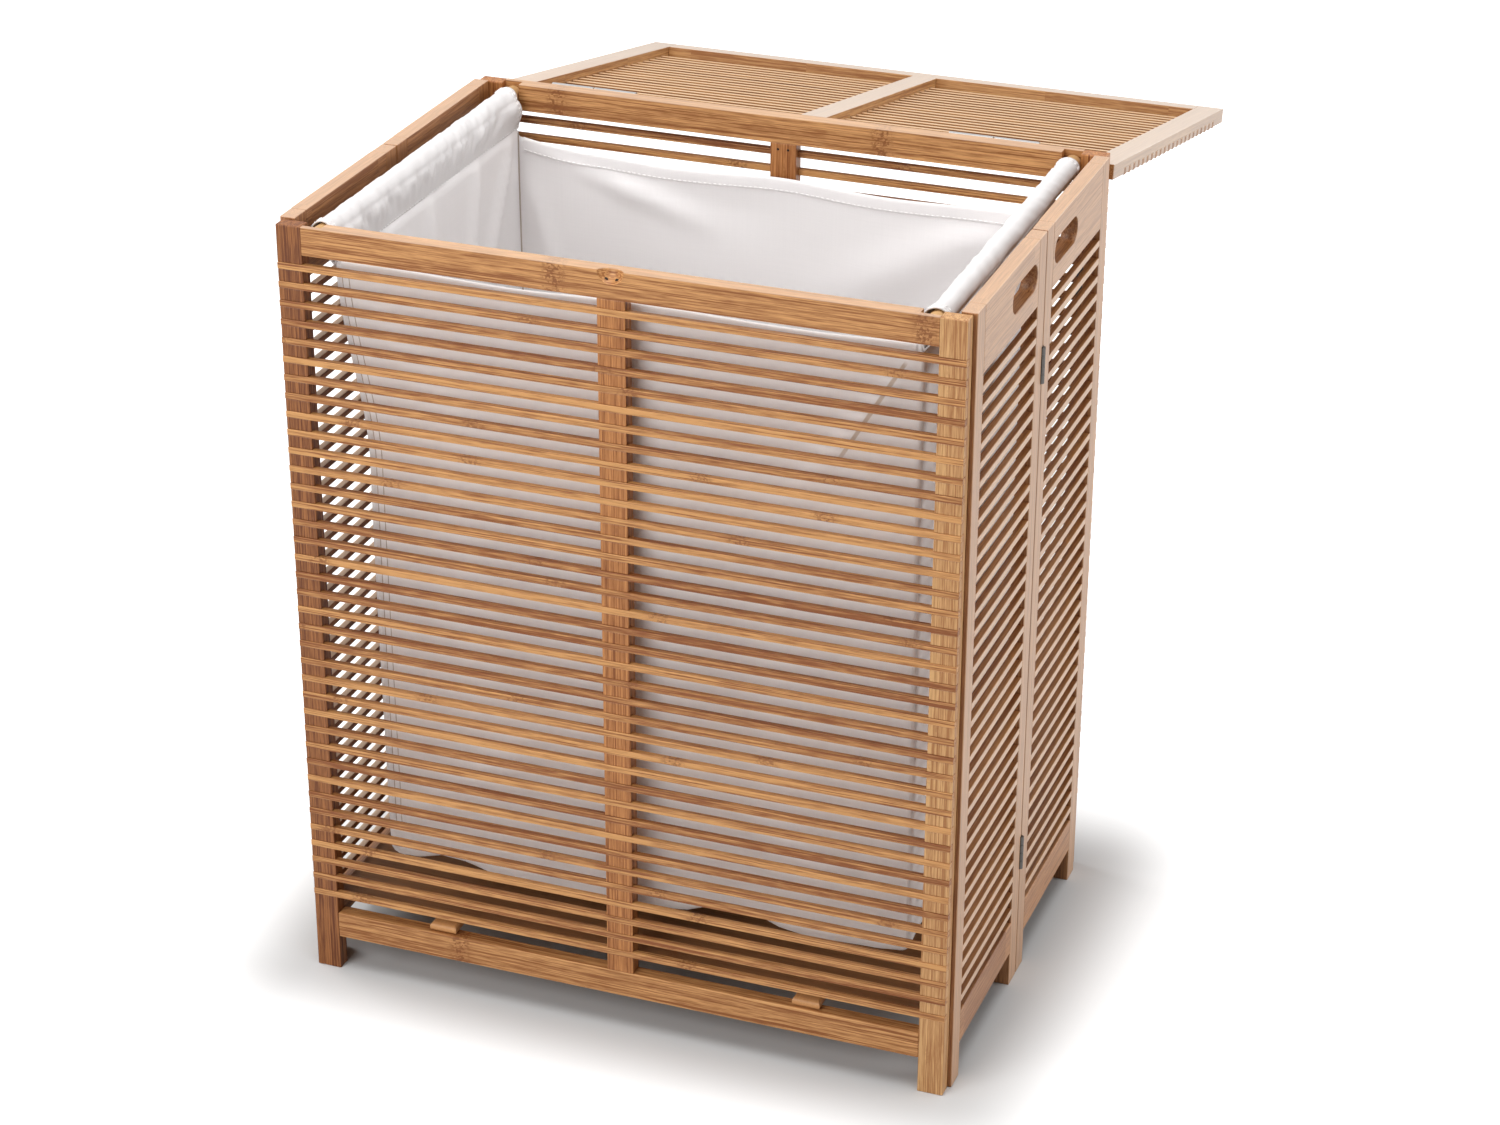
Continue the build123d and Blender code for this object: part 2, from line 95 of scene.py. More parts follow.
class HamperSizes(bpy.types.PropertyGroup):
    """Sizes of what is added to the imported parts."""

    edge_round: length("Frame edges", "Rounding of the frame's edges", 0.7 * MM)
    slat_round: length("Slat edges", "Rounding of the slats' edges", 0.4 * MM)
    cloth: length("Cloth", "Thickness of the cotton", 1.1 * MM)
    sleeve_loose: length("Sleeve slack", "Room between the rod and its sleeve", 1.7 * MM)
    sleeve_drop: length("Sleeve drop", "Rod's axis down to the sleeve's seam", 24.4 * MM)
    sleeve_flare: length("Sleeve flare", "Widening of the sleeve at its ends", 4.5 * MM)
    seam_in: length("Sleeve seam", "Rod's axis in to the sleeve's seam", 9.0 * MM)
    front_hem: length("Front hem", "Height of the front hem's edge", 593.5 * MM)
    rear_hem: length("Rear hem", "Height of the rear hem's edge", 576.5 * MM)
    hem_width: length("Hem width", "Width of the turned hems", 10.0 * MM)
    corner_round: length("Bag corner", "Rounding of the bag's upright corners", 2.5 * MM)
    bottom_round: length("Bag edge", "Rounding of the bag's bottom edge", 12.0 * MM)
    bottom_sag: length("Bottom sag", "Sag of the bag's bottom", 5.0 * MM)
    fold_depth: length("Fold depth", "Height of the cotton's soft folds", 1.8 * MM)
    stitch: length("Stitch", "Length of one stitch", 3.0 * MM)
    stitch_gap: length("Stitch step", "Start of one stitch to the start of the next", 4.3 * MM)
    thread: length("Thread", "Thickness of the sewing thread", 0.9 * MM)
    seam_cord: length("Corner seam", "Radius of the bag's upright seams", 0.7 * MM)
    topstitch: length("Topstitch", "Radius of the topstitching's lines", 0.35 * MM)
    screw_head: length("Screw head", "Radius of the hinge screws' heads", 1.7 * MM)
    brad_head: length("Brad head", "Radius of the brads' heads", 1.5 * MM)
    node_gap: length("Bamboo nodes", "Distance between the joints of a cane", 0.273)


class HamperColours(bpy.types.PropertyGroup):
    """Colours of the finishes."""

    frame_light: paint("Rails, light", "Pale grain of the panels' rails", (0.59, 0.3, 0.114))
    frame_dark: paint("Rails, dark", "Dark grain of the panels' rails", (0.235, 0.08, 0.021))
    post_light: paint("Posts, light", "Pale grain of the posts and stiles", (0.52, 0.225, 0.074))
    post_dark: paint("Posts, dark", "Dark grain of the posts and stiles", (0.2, 0.06, 0.014))
    brown_light: paint("Brown post, light", "Pale grain of the darkest post", (0.33, 0.128, 0.039))
    brown_dark: paint("Brown post, dark", "Dark grain of the darkest post", (0.115, 0.03, 0.007))
    pale_light: paint("Pale post, light", "Pale grain of the lightest post", (0.61, 0.352, 0.152))
    pale_dark: paint("Pale post, dark", "Dark grain of the lightest post", (0.34, 0.145, 0.05))
    lid_light: paint("Lid frame, light", "Pale grain of the lid frame's edges", (0.56, 0.3, 0.12))
    lid_dark: paint("Lid frame, dark", "Dark grain of the lid frame's edges", (0.28, 0.11, 0.035))
    # painted highlight: a paler tone for the top faces and right face of the lid's frame, standing in for light and
    # sheen on them
    lid_face_highlight: paint("Lid frame, faces", "Sanded faces of the lid's frame", (0.65, 0.54, 0.45))
    lid_slat_light: paint("Lid slats, light", "Lightest slats of the lid", (0.43, 0.205, 0.08))
    lid_slat_dark: paint("Lid slats, dark", "Reddest slats of the lid", (0.18, 0.066, 0.022))
    # painted highlight: a paler tone for the top faces of the lid's slats, standing in for light and sheen on them
    lid_slat_highlight: paint("Lid slats, faces", "Sanded faces of the lid's slats", (0.8, 0.54, 0.31))
    slat_light: paint("Slats, light", "Lightest slats", (0.59, 0.3, 0.11))
    slat_dark: paint("Slats, dark", "Reddest slats", (0.215, 0.067, 0.018))
    leaf_light: paint("Leaves, light", "Pale grain of the side leaves", (0.45, 0.205, 0.078))
    leaf_dark: paint("Leaves, dark", "Dark grain of the side leaves", (0.23, 0.082, 0.025))
    leaf_slat_light: paint("Right slats, light", "Lightest slats of the right leaves", (0.46, 0.205, 0.068))
    leaf_slat_dark: paint("Right slats, dark", "Reddest slats of the right leaves", (0.23, 0.078, 0.021))
    # painted shade: the left leaves' slats take darker tones than the right ones', standing in for the shade inside the
    # hamper
    left_painted_shade_light: paint("Left slats, light", "Lightest slats of the left leaves", (0.27, 0.1, 0.032))
    left_painted_shade_dark: paint("Left slats, dark", "Reddest slats of the left leaves", (0.13, 0.04, 0.011))
    # painted highlight: a pale tone for outer faces and top edges, standing in for their sheen and the light from above
    painted_highlight: paint("Sanded faces", "Outer faces and top edges that are sanded pale", (0.76, 0.56, 0.4))
    knot: paint("Bamboo joint", "Marks at the joints of the cane", (0.2, 0.066, 0.018))
    rod: paint("Rod", "Wood of the liner's rods", (0.6, 0.36, 0.16))
    board_light: paint("Board, light", "Pale grain of the floor", (0.34, 0.17, 0.07))
    board_dark: paint("Board, dark", "Dark grain of the floor", (0.2, 0.085, 0.03))
    steel: paint("Steel", "Plated hinges and screws", (0.13, 0.122, 0.115))
    bright_steel: paint("Bright steel", "Plates of the lid's hinges", (0.62, 0.61, 0.6))
    # painted shade: a tan line along a crease of the front wall, standing in for the crease's shadow
    crease_shade: paint("Crease", "Pressed crease of the cotton", (0.52, 0.4, 0.3))
    brad: paint("Brads", "Blackened nail heads", (0.02, 0.012, 0.008))
    cotton: paint("Cotton", "Cloth of the liner", (0.89, 0.862, 0.858))
    thread: paint("Thread", "Sewing thread", (0.9, 0.88, 0.87))
    # tan cords down the bag's upright corners, real seams drawn darker than the cloth as painted shade in the corners,
    # and the topstitch lines in the same tan
    seam: paint("Seam", "Upright seams of the bag", (0.47, 0.39, 0.33))
    floor: paint("Floor", "Studio floor", (0.58, 0.58, 0.58))


def sizes():
    return bpy.context.scene.hamper_sizes


def colours():
    return bpy.context.scene.hamper_colours


def rgba(colour, share=1.0):
    """A colour, or a share of its light, with full cover."""
    return (*[share * part for part in colour], 1.0)


# node wiring

def put(tree, kind, inputs=None, **fields):
    """Add a node, set its fields, and fill or link its inputs."""
    made = tree.nodes.new(kind)
    for field, value in fields.items():
        setattr(made, field, value)
    for key, value in (inputs or {}).items():
        if isinstance(value, Wire):
            value.to(made.inputs[key])
        else:
            made.inputs[key].default_value = value
    return made


class Wire:
    """A value in a node tree. Arithmetic with it adds Math nodes."""

    def __init__(self, socket):
        self.socket, self.tree = socket, socket.id_data

    def to(self, socket):
        self.tree.links.new(self.socket, socket)

    def math(self, operation, *others, clamp=False):
        inputs = dict(enumerate((self, *others)))
        return Wire(put(self.tree, "ShaderNodeMath", inputs, operation=operation, use_clamp=clamp).outputs[0])

    def __add__(self, other):
        return self.math("ADD", other)

    def __sub__(self, other):
        return self.math("SUBTRACT", other)

    def __mul__(self, other):
        return self.math("MULTIPLY", other)

    def __truediv__(self, other):
        return self.math("DIVIDE", other)

    def __abs__(self):
        return self.math("ABSOLUTE")

    def vector(self, operation, inputs, output=0):
        """One step of vector arithmetic."""
        made = put(self.tree, "ShaderNodeVectorMath", {0: self, **inputs}, operation=operation)
        return Wire(made.outputs[output])

    def parts(self):
        """The parts of a vector along X, Y and Z."""
        return [Wire(part) for part in put(self.tree, "ShaderNodeSeparateXYZ", {0: self}).outputs]

    def ease(self, low, high, to_low=0.0, to_high=1.0):
        """A smooth step from one range to another."""
        inputs = {0: self, 1: low, 2: high, 3: to_low, 4: to_high}
        return Wire(put(self.tree, "ShaderNodeMapRange", inputs, interpolation_type="SMOOTHSTEP").outputs[0])

    def mixed(self, first, second):
        """Two colours mixed, with this as the second one's share."""
        return Wire(put(self.tree, "ShaderNodeMix", {0: self, 6: first, 7: second}, data_type="RGBA").outputs[2])

    def noise(self, scale, detail=2.0, roughness=0.5):
        """Smooth noise from 0 to 1 on this vector, scaled along each axis."""
        inputs = {
            "Vector": self.vector("MULTIPLY", {1: scale}), "Scale": 1.0, "Detail": detail, "Roughness": roughness
        }
        return Wire(put(self.tree, "ShaderNodeTexNoise", inputs).outputs[0])


def coordinates(tree, kind):
    return Wire(put(tree, "ShaderNodeTexCoord").outputs[kind])


def seen_rays(tree):
    """1 for rays that show a thing to the camera, straight, mirrored or through glass, and 0 for others."""
    path = put(tree, "ShaderNodeLightPath").outputs
    seen = Wire(path["Is Glossy Ray"]).math("MAXIMUM", Wire(path["Is Transmission Ray"]))
    return Wire(path["Is Camera Ray"]).math("MAXIMUM", seen)


def new_group(name, inputs, outputs):
    """An empty shader group with named sockets, what it is given and the sockets of its results."""
    tree = bpy.data.node_groups.new(name, "ShaderNodeTree")
    for direction, sockets in (("INPUT", inputs), ("OUTPUT", outputs)):
        for label, kind in sockets.items():
            tree.interface.new_socket(name=label, in_out=direction, socket_type=f"NodeSocket{kind}")
    given = tree.nodes.new("NodeGroupInput").outputs
    return tree, {label: Wire(given[label]) for label in inputs}, tree.nodes.new("NodeGroupOutput").inputs


def use_group(tree, name, inputs):
    """Place a shader group in a material."""
    made = put(tree, "ShaderNodeGroup", inputs, node_tree=bpy.data.node_groups[name])
    return {output.name: Wire(output) for output in made.outputs}


def build_bamboo_group():
    """Grain of a bamboo strip whose length runs along X: fibres, short flecks, broader streaks and thin dark lines, a
    tone for each strip, and joints of the cane at even steps, which may shift from strip to strip, hatched by short
    dark fibres."""
    tree, given, result = new_group(
        "bamboo_grain",
        {
            "Vector": "Vector", "Strip": "Float", "Light": "Color", "Dark": "Color", "Knot": "Color",
            "Spread": "Float", "Streaks": "Float", "Node Gap": "Float", "Node Depth": "Float",
            "Node Shift": "Float", "Node Wander": "Float",
        },
        {"Color": "Color", "Roughness": "Float", "Height": "Float"},
    )
    white = put(tree, "ShaderNodeTexWhiteNoise", {"W": given["Strip"]}, noise_dimensions="1D")
    chance = Wire(white.outputs[1])
    first, second, third = [Wire(part) for part in put(tree, "ShaderNodeSeparateColor", {0: chance}).outputs]
    moved = given["Vector"].vector("ADD", {1: chance.vector("SCALE", {"Scale": 5.0})})
    fibre = moved.noise((12, 1300, 1300))
    fleck = moved.noise((48, 850, 850), 3.0, 0.6)
    streak = moved.noise((5, 420, 420), 3.0, 0.6)
    lines = moved.noise((6, 820, 820), 1.0).ease(0.56, 0.70)
    cloud = moved.noise((6, 30, 30))
    hatch = moved.noise((420, 480, 480)).ease(0.46, 0.60)
    # metres from the nearest joint of the cane, with a ragged edge
    phase = (given["Vector"].parts()[0] - given["Node Shift"]) / given["Node Gap"] + 0.5
    phase = first * given["Node Wander"] + phase
    away = abs(phase.math("FRACT") - 0.5) * given["Node Gap"] + (streak - 0.5) * 0.008
    near = away.ease(0.012, 0.003) * (hatch * 0.80 + 0.10)
    core = away.ease(0.0016, 0.0003, 0.0, 0.35)
    rare = second.ease(0.55, 0.35).math("MULTIPLY", given["Node Wander"], clamp=True)
    joint = near.math("MAXIMUM", core) * ((rare * -1.0 + 1.0) * given["Node Depth"])
    tone = (third - 0.5) * given["Spread"] + 0.42
    for part, weight in ((streak, 2.0), (fleck, 2.6), (fibre, 1.2)):
        tone = (part - 0.5) * weight * given["Streaks"] + tone
    tone = lines * 0.85 * given["Streaks"] + tone
    tone = ((cloud - 0.5) * 0.45).math("ADD", tone, clamp=True)
    joint.mixed(tone.mixed(given["Light"], given["Dark"]), given["Knot"]).to(result["Color"])
    (fibre * 0.24 + 0.30).to(result["Roughness"])
    (fibre * 0.4 + streak * 0.6 - joint * 0.5).to(result["Height"])


def build_weave_group():
    """Plain weave on a flat cloth: the product of two sine waves, one for each thread direction, with slubs that run
    along the threads and soft crumples."""
    _, given, result = new_group(
        "plain_weave", {"Vector": "Vector", "Thread": "Float"}, {"Shade": "Float", "Height": "Float"}
    )
    spot = given["Vector"]
    across, up = [(way * (2 * pi) / given["Thread"]).math("SINE") for way in spot.parts()[:2]]
    threads = across * up * 0.5 + 0.5
    slubs = spot.noise((1100, 14, 1)) + spot.noise((14, 1100, 1))
    slubs.ease(0.6, 1.4).to(result["Shade"])
    (threads * 0.05 + slubs * 0.02 + spot.noise((38, 30, 1), 4.0, 0.55)).to(result["Height"])


def build_brushed_group():
    """Fine scratches along X, for plated steel."""
    _, given, result = new_group("brushed", {"Vector": "Vector"}, {"Shade": "Float", "Height": "Float"})
    lines = given["Vector"].noise((60, 2600, 2600))
    (given["Vector"].noise((90, 90, 90), 3.0) * 0.5 + lines * 0.5).to(result["Shade"])
    lines.to(result["Height"])


# finishes

def new_material(name, **constants):
    """A material with one Principled shader, its tree, and the shader's sockets, some set to constants."""
    made = bpy.data.materials.new(name)
    made.use_nodes = True
    sockets = made.node_tree.nodes["Principled BSDF"].inputs
    for label, value in constants.items():
        sockets[label.replace("_", " ")].default_value = value
    return made, made.node_tree, sockets


def bump(height, sockets, strength, distance):
    node = put(height.tree, "ShaderNodeBump", {"Strength": strength, "Distance": distance, "Height": height})
    Wire(node.outputs[0]).to(sockets["Normal"])


def laid_along(tree, grain, tilt=0.0):
    """Object coordinates, turned by a tilt about X: in the order length, width, thickness, and axis by axis."""
    spot = coordinates(tree, "Object")
    if tilt:
        spot = Wire(put(tree, "ShaderNodeMapping", {"Vector": spot, "Rotation": (tilt, 0, 0)}).outputs[0])
    ways = spot.parts()
    order = {"X": (0, 1, 2), "Y": (1, 0, 2), "Z": (2, 0, 1)}[grain]
    return Wire(put(tree, "ShaderNodeCombineXYZ", {i: ways[way] for i, way in enumerate(order)}).outputs[0]), ways


def strip_of(ways, steps, seed):
    """A number for each strip: the sum over the given axes of the rounded step, each weighted apart."""
    total = seed
    for way, start, pitch, weight in steps:
        total = ((ways[way] - start) / pitch).math("FLOOR") * weight + total
    return total


def bamboo(
    name, grain, light, dark, steps, spread, streaks, nodes=0.8, tilt=0.0, seed=0.5, shift=0.0, wander=9.0, gloss=0.3,
    painted_highlight=(), painted_highlight_tone=None, gaps=1,
):
    """A lacquered bamboo finish with its grain along one axis. Without wander the cane's joints lie at the shift. Each
    painted-highlight entry gives an axis, a distance along it past which the wood is painted paler, standing in for the
    sheen and light on those faces, and how much. With a pitch as well, the faces at every pitch below that distance get
    it."""
    made, tree, sockets = new_material(name, Specular_IOR_Level=gloss)
    vector, ways = laid_along(tree, grain, tilt)
    out = use_group(
        tree, "bamboo_grain",
        {
            "Vector": vector, "Strip": strip_of(ways, steps, seed), "Light": rgba(light), "Dark": rgba(dark),
            "Knot": rgba(colours().knot), "Spread": spread, "Streaks": streaks, "Node Depth": nodes,
            "Node Gap": gaps * sizes().node_gap, "Node Shift": shift, "Node Wander": wander,
        },
    )
    wood = out["Color"]
    # painted highlight: past the level, or on faces at every pitch, the wood is blended towards a pale tone for sheen
    # and light
    for way, level, share, *pitch in painted_highlight:
        if pitch:
            steps_down = (ways[way] * -1.0 + (level + FACE_SLACK)) / pitch[0]
            past = steps_down.math("FRACT").ease(FACE_END, FACE_FULL, 0.0, share)
        else:
            past = abs(ways[way]).ease(level - SKIN, level, 0.0, share)
        wood = past.mixed(wood, rgba(painted_highlight_tone or colours().painted_highlight))
    wood.to(sockets["Base Color"])
    out["Roughness"].to(sockets["Roughness"])
    bump(out["Height"], sockets, strength=0.35, distance=0.12 * MM)
    return made


def metal_finish(name, dark, light, rough_span, rough_least, metallic, scratches):
    """Brushed metal between two tones, as rough as its scratches."""
    made, tree, sockets = new_material(name, Metallic=metallic)
    out = use_group(tree, "brushed", {"Vector": laid_along(tree, "X")[0]})
    out["Shade"].mixed(dark, light).to(sockets["Base Color"])
    (out["Shade"] * rough_span + rough_least).to(sockets["Roughness"])
    if scratches:
        bump(out["Height"], sockets, strength=scratches, distance=0.05 * MM)
    return made


def steel_finish(name, colour):
    return metal_finish(
        name, rgba(colour, 0.6), rgba(colour), rough_span=0.25, rough_least=0.25, metallic=1.0, scratches=0.2
    )


def cotton_finish(name, colour, thread, share=1.0, crease_shade=None):
    """Woven cotton on the piece's own map, with a tan line of painted shade along one crease, a straight line between
    the ends if they are given.
    """
    made, tree, sockets = new_material(name, Roughness=0.9, Specular_IOR_Level=0.15, Sheen_Weight=0.15)
    spot = coordinates(tree, "UV")
    out = use_group(tree, "plain_weave", {"Vector": spot, "Thread": thread})
    shade = out["Shade"].mixed(rgba(colour, 0.975 * share), rgba(colour, share))
    if crease_shade:
        shade = crease_shade_line(spot, *crease_shade).mixed(shade, rgba(colours().crease_shade))
    shade.to(sockets["Base Color"])
    bump(out["Height"], sockets, strength=0.5, distance=0.9 * MM)
    return made


def crease_shade_line(spot, start, end):
    """A mask for painted crease shade along a straight line of the map: full within a millimetre of it, fading out
    towards its end.
    """
    run = Vector(end) - Vector(start)
    ahead, aside = run.normalized(), Vector((-run.y, run.x)).normalized()
    across, down, _ = spot.parts()

    def along(way):
        return (down - start[1]) * way.y + (across - start[0]) * way.x

    near = abs(along(aside)).ease(2.0 * MM, 0.9 * MM)
    share = along(ahead) / run.length
    return near * (share.ease(0.0, 0.05) * share.ease(1.0, 0.75)) * 0.75


# mesh making

def grid_faces(rows, columns, wrap=False):
    """Quads of a grid of points, row after row, joined round from the last column to the first if it wraps."""
    row, column = np.meshgrid(np.arange(rows - 1), np.arange(columns - (not wrap)), indexing="ij")
    after = (column + 1) % columns
    here, below = row * columns, (row + 1) * columns
    return np.stack([here + column, here + after, below + after, below + column], axis=-1).reshape(-1, 4)


def new_piece(name, body, points, faces, material, slot, uv=None, flip=False):
    """A smooth mesh from points and arrays of quads or triangles, with a flat map in metres, riding on a body."""
    faces = [each[:, ::-1] if flip else each for each in faces]
    mesh = bpy.data.meshes.new(name)
    mesh.from_pydata(np.reshape(points, (-1, 3)).tolist(), [], sum([each.tolist() for each in faces], []))
    mesh.shade_smooth()
    if uv is not None:
        corners = np.concatenate([each.ravel() for each in faces])
        layer = mesh.uv_layers.new(name="cloth")
        layer.data.foreach_set("uv", np.asarray(uv, np.float32).reshape(-1, 2)[corners].ravel())
    mesh.materials.append(material)
    made = bpy.data.objects.new(name, mesh)
    bpy.context.scene.collection.objects.link(made)
    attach(made, body)
    return made


def copies(spots, shape, faces):
    """Points and faces of a shape that is repeated at spots, given as spots alone or as whole arrays of its points."""
    points = spots if spots.ndim == 3 else spots[:, None] + shape
    offset = (np.arange(len(points)) * len(shape))[:, None, None]
    return points, [(each[None] + offset).reshape(-1, each.shape[1]) for each in faces]


def thicken(piece, thickness, offset=0.0):
    """Give a sheet of cloth its thickness."""
    wall = piece.modifiers.new("thickness", "SOLIDIFY")
    wall.thickness, wall.offset, wall.use_even_offset = thickness, offset, True


def dress(nodes, material, rounding=0.0):
    """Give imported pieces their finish, and round their edges."""
    for node in nodes:
        piece = NODES[node]
        piece.data.materials.clear()
        piece.data.materials.append(material)
        if rounding:
            weld = piece.modifiers.new("merge", "WELD")
            weld.merge_threshold = 0.01 * MM
            flat = piece.modifiers.new("flat faces", "DECIMATE")
            flat.decimate_type, flat.angle_limit = "DISSOLVE", radians(1)
            edge = piece.modifiers.new("round edges", "BEVEL")
            edge.width, edge.segments, edge.limit_method, edge.angle_limit = rounding, 2, "ANGLE", radians(40)
            edge.use_clamp_overlap = True


def named(*words, without=()):
    """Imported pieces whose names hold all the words."""
    return [n for n in sorted(NODES) if all(w in n for w in words) and not any(w in n for w in without)]


def highest(node, tilt):
    """How far a node reaches over the origin, square to a plane tilted about X: Y sin + Z cos at its highest."""
    mesh = bpy.data.objects[node].data
    points = np.empty(len(mesh.vertices) * 3, dtype=np.float32)
    mesh.vertices.foreach_get("co", points)
    _, y, z = points.reshape(-1, 3).T
    return float((y * sin(tilt) + z * cos(tilt)).max())


# liner shapes

def unit(value):
    """A value kept from 0 to 1."""
    return np.clip(value, 0, 1)


def outline():
    """The bag's ring of columns, counted from the front left corner towards the right: for each column the share of
    the half width and half depth where its corner's centre lies, and its outward direction."""
    long_side, short_side, turn = 84, 60, 5
    quarter = (np.arange(turn) + 0.5) / turn * pi / 2
    share_x, share_y, out_x, out_y = [], [], [], []
    for side in range(4):
        count = (long_side, short_side)[side % 2]
        ahead = np.linspace(-1, 1, count, endpoint=False) + 1 / count
        ones = np.ones(count)
        across, along = ((ahead, -ones), (ones, ahead), (-ahead, ones), (-ones, -ahead))[side]
        normal = -pi / 2 + side * pi / 2
        share_x += [across, np.full(turn, (1, 1, -1, -1)[side])]
        share_y += [along, np.full(turn, (-1, 1, 1, -1)[side])]
        out_x += [np.full(count, cos(normal)), np.cos(normal + quarter)]
        out_y += [np.full(count, sin(normal)), np.sin(normal + quarter)]
    return tuple(np.concatenate(values).astype(float) for values in (share_x, share_y, out_x, out_y))


def ridge(x, z, start, end, wide, high):
    """A soft fold from one point of a wall to another: a bell across its line, rising fast and dying slowly."""
    (x0, z0), (x1, z1) = start, end
    dx, dz = x1 - x0, z1 - z0
    run = np.hypot(dx, dz)
    ahead = ((x - x0) * dx + (z - z0) * dz) / run**2
    aside = ((x - x0) * -dz + (z - z0) * dx) / run
    spread = wide * (0.6 + 0.9 * unit(ahead))
    fade = unit(ahead / 0.15) * unit((1.25 - ahead) / 0.6)
    return high * np.exp(-((aside / spread) ** 2)) * fade


class BagShape:
    """The bag as one lofted shell. A ring of the bag is a rounded rectangle that narrows towards the bottom, most at
    the front left. Its upper edge follows the seams of the sleeves at the sides and the drooping hems at the front and
    rear. Its walls carry soft upright waves that grow downwards, and slanting folds from the corners. The bottom edge
    waves, and the bottom closes to the middle and sags."""

    # across the bag in millimetres, and how far the bottom edge stands over its mean there
    EDGE_AT = (-225, -210, -187, -160, -133, -106, -70, -26, 18, 44, 74, 100, 123, 149, 180, 205, 225)
    EDGE_UP = (0, 0, 6, 4, -2, -4, -4, -8, -3, 0, 11, 9, 2, 0, 0, 1, 4)
    # folds: start and end along and up the wall, width, and height, which is below 0 for a hollow
    REAR_FOLDS = (
        ((-0.212, 0.580), (-0.080, 0.538), 0.0065, 7.5 * MM),
        ((0.205, 0.575), (0.02, 0.47), 0.018, 5.0 * MM),
        ((-0.215, 0.56), (-0.165, 0.36), 0.010, 4.0 * MM),
        ((-0.11, 0.570), (0.01, 0.535), 0.02, -2.5 * MM),
    )
    FRONT_FOLDS = (
        ((-0.205, 0.58), (-0.10, 0.45), 0.012, 2.5 * MM),
        ((0.219, 0.585), (0.13, 0.47), 0.006, 3.5 * MM),
        ((-0.20, 0.13), (-0.06, 0.24), 0.012, 3.0 * MM),
        ((0.21, 0.13), (0.08, 0.21), 0.010, 3.0 * MM),
    )
    SIDE_FOLDS = (
        ((0.150, 0.590), (0.070, 0.46), 0.008, 6.0 * MM),
        ((0.085, 0.592), (0.045, 0.45), 0.009, 5.5 * MM),
        ((0.000, 0.592), (-0.030, 0.43), 0.009, 5.5 * MM),
        ((-0.100, 0.590), (-0.060, 0.47), 0.010, 4.5 * MM),
    )
    # how far the bag narrows by its bottom: at the left, there at the front as well, at the right, front and rear
    LEFT_IN, LEFT_FRONT_IN, RIGHT_IN, ENDS_IN = 2.0 * MM, 18.5 * MM, 2.5 * MM, 7.0 * MM
    WALL_ROWS, TURN_ROWS, BOTTOM_ROWS = 78, 6, 17

    def __init__(self):
        s = sizes()
        self.share_x, self.share_y, self.out_x, self.out_y = outline()
        self.out = np.stack([self.out_x, self.out_y, 0 * self.out_x], axis=-1)
        self.half_x = ROD.x - s.seam_in
        self.half_y = (BAG_HIGH.y - BAG_LOW.y) / 2 - 2.0 * MM
        self.radius = s.corner_round
        self.foot = BAG_LOW.z + s.bottom_round
        x0 = self.x0 = self.ring(np.zeros((1, 1)))[0][0]
        wave = 1.4 * MM * np.sin(x0 / 0.042 + 0.6) + 0.8 * MM * np.sin(x0 / 0.023 + 2.0)
        lift = 8.0 * MM * unit((-x0 - 0.155) / 0.07) ** 2
        rear = s.rear_hem + wave + lift - 4.5 * MM * np.exp(-(((x0 - 0.095) / 0.07) ** 2))
        front = s.front_hem + 1.2 * MM * np.sin(x0 / 0.034 + 1.0)
        seam = ROD.z - s.sleeve_drop + 0.8 * MM
        self.top = unit(self.out_y) ** 2 * rear + unit(-self.out_y) ** 2 * front + self.out_x**2 * seam
        toward_front = unit(-self.share_y) ** 2
        self.edge = np.interp(x0 / MM, self.EDGE_AT, self.EDGE_UP) * MM * (0.3 + 0.7 * toward_front)

    def ring(self, down):
        """X and Y of the ring at each share of the way down, without folds."""
        x = self.share_x * (self.half_x - self.radius) + self.out_x * self.radius
        y = self.share_y * (self.half_y - self.radius) + self.out_y * self.radius
        eased = unit(down / 0.32)
        eased = eased * eased * (3 - 2 * eased)
        to_front = unit(0.5 - 0.5 * y / self.half_y) ** 2
        left, right = unit(-x / self.half_x), unit(x / self.half_x)
        inward = (left * (self.LEFT_IN + self.LEFT_FRONT_IN * to_front) - right * self.RIGHT_IN) * eased
        return x + inward, SEAM_Y + y - self.ENDS_IN * (y / self.half_y) * down

    def folds(self, x, y, z, down):
        """How far the cloth stands out of its plain wall."""
        deep = sizes().fold_depth * (0.25 + 0.75 * unit(down))
        front, rear, sides = unit(-self.out_y), unit(self.out_y), np.abs(self.out_x)
        upright = np.sin(x / 0.021 + 1.3 * np.sin(z / 0.17)) + 0.7 * np.sin(x / 0.0125 + 2 + z / 0.11)
        sideways = np.sin(y / 0.019 + 1.1 * np.sin(z / 0.15)) + 0.7 * np.sin(y / 0.011 + 1 + z / 0.13)
        lumps = ((front + rear) * upright + sides * sideways) * 0.55 * deep
        back, fore, flank = [
            sum(ridge(across, z, *fold) for fold in folds)
            for across, folds in ((x, self.REAR_FOLDS), (x, self.FRONT_FOLDS), (y - SEAM_Y, self.SIDE_FOLDS))
        ]
        billow = 1.5 * MM * np.sin(pi * unit(down))
        settled = unit(down / 0.05) ** 2
        return lumps + billow - settled * (rear * back - front * fore) - sides * flank

    def wall(self, down):
        """Points of the wall at each share of the way down, one row or column of shares."""
        x, y = self.ring(down)
        down = down + 0 * x
        z = self.top * (1 - down) + (self.foot + self.edge) * down
        out = self.folds(x, y, z, down)
        return np.stack([x + self.out_x * out, y + self.out_y * out, z], axis=-1)

    def below(self, drop):
        """Points of the wall at drops below its upper edge."""
        return self.wall(np.asarray(drop, float)[:, None] / (self.top - self.foot))

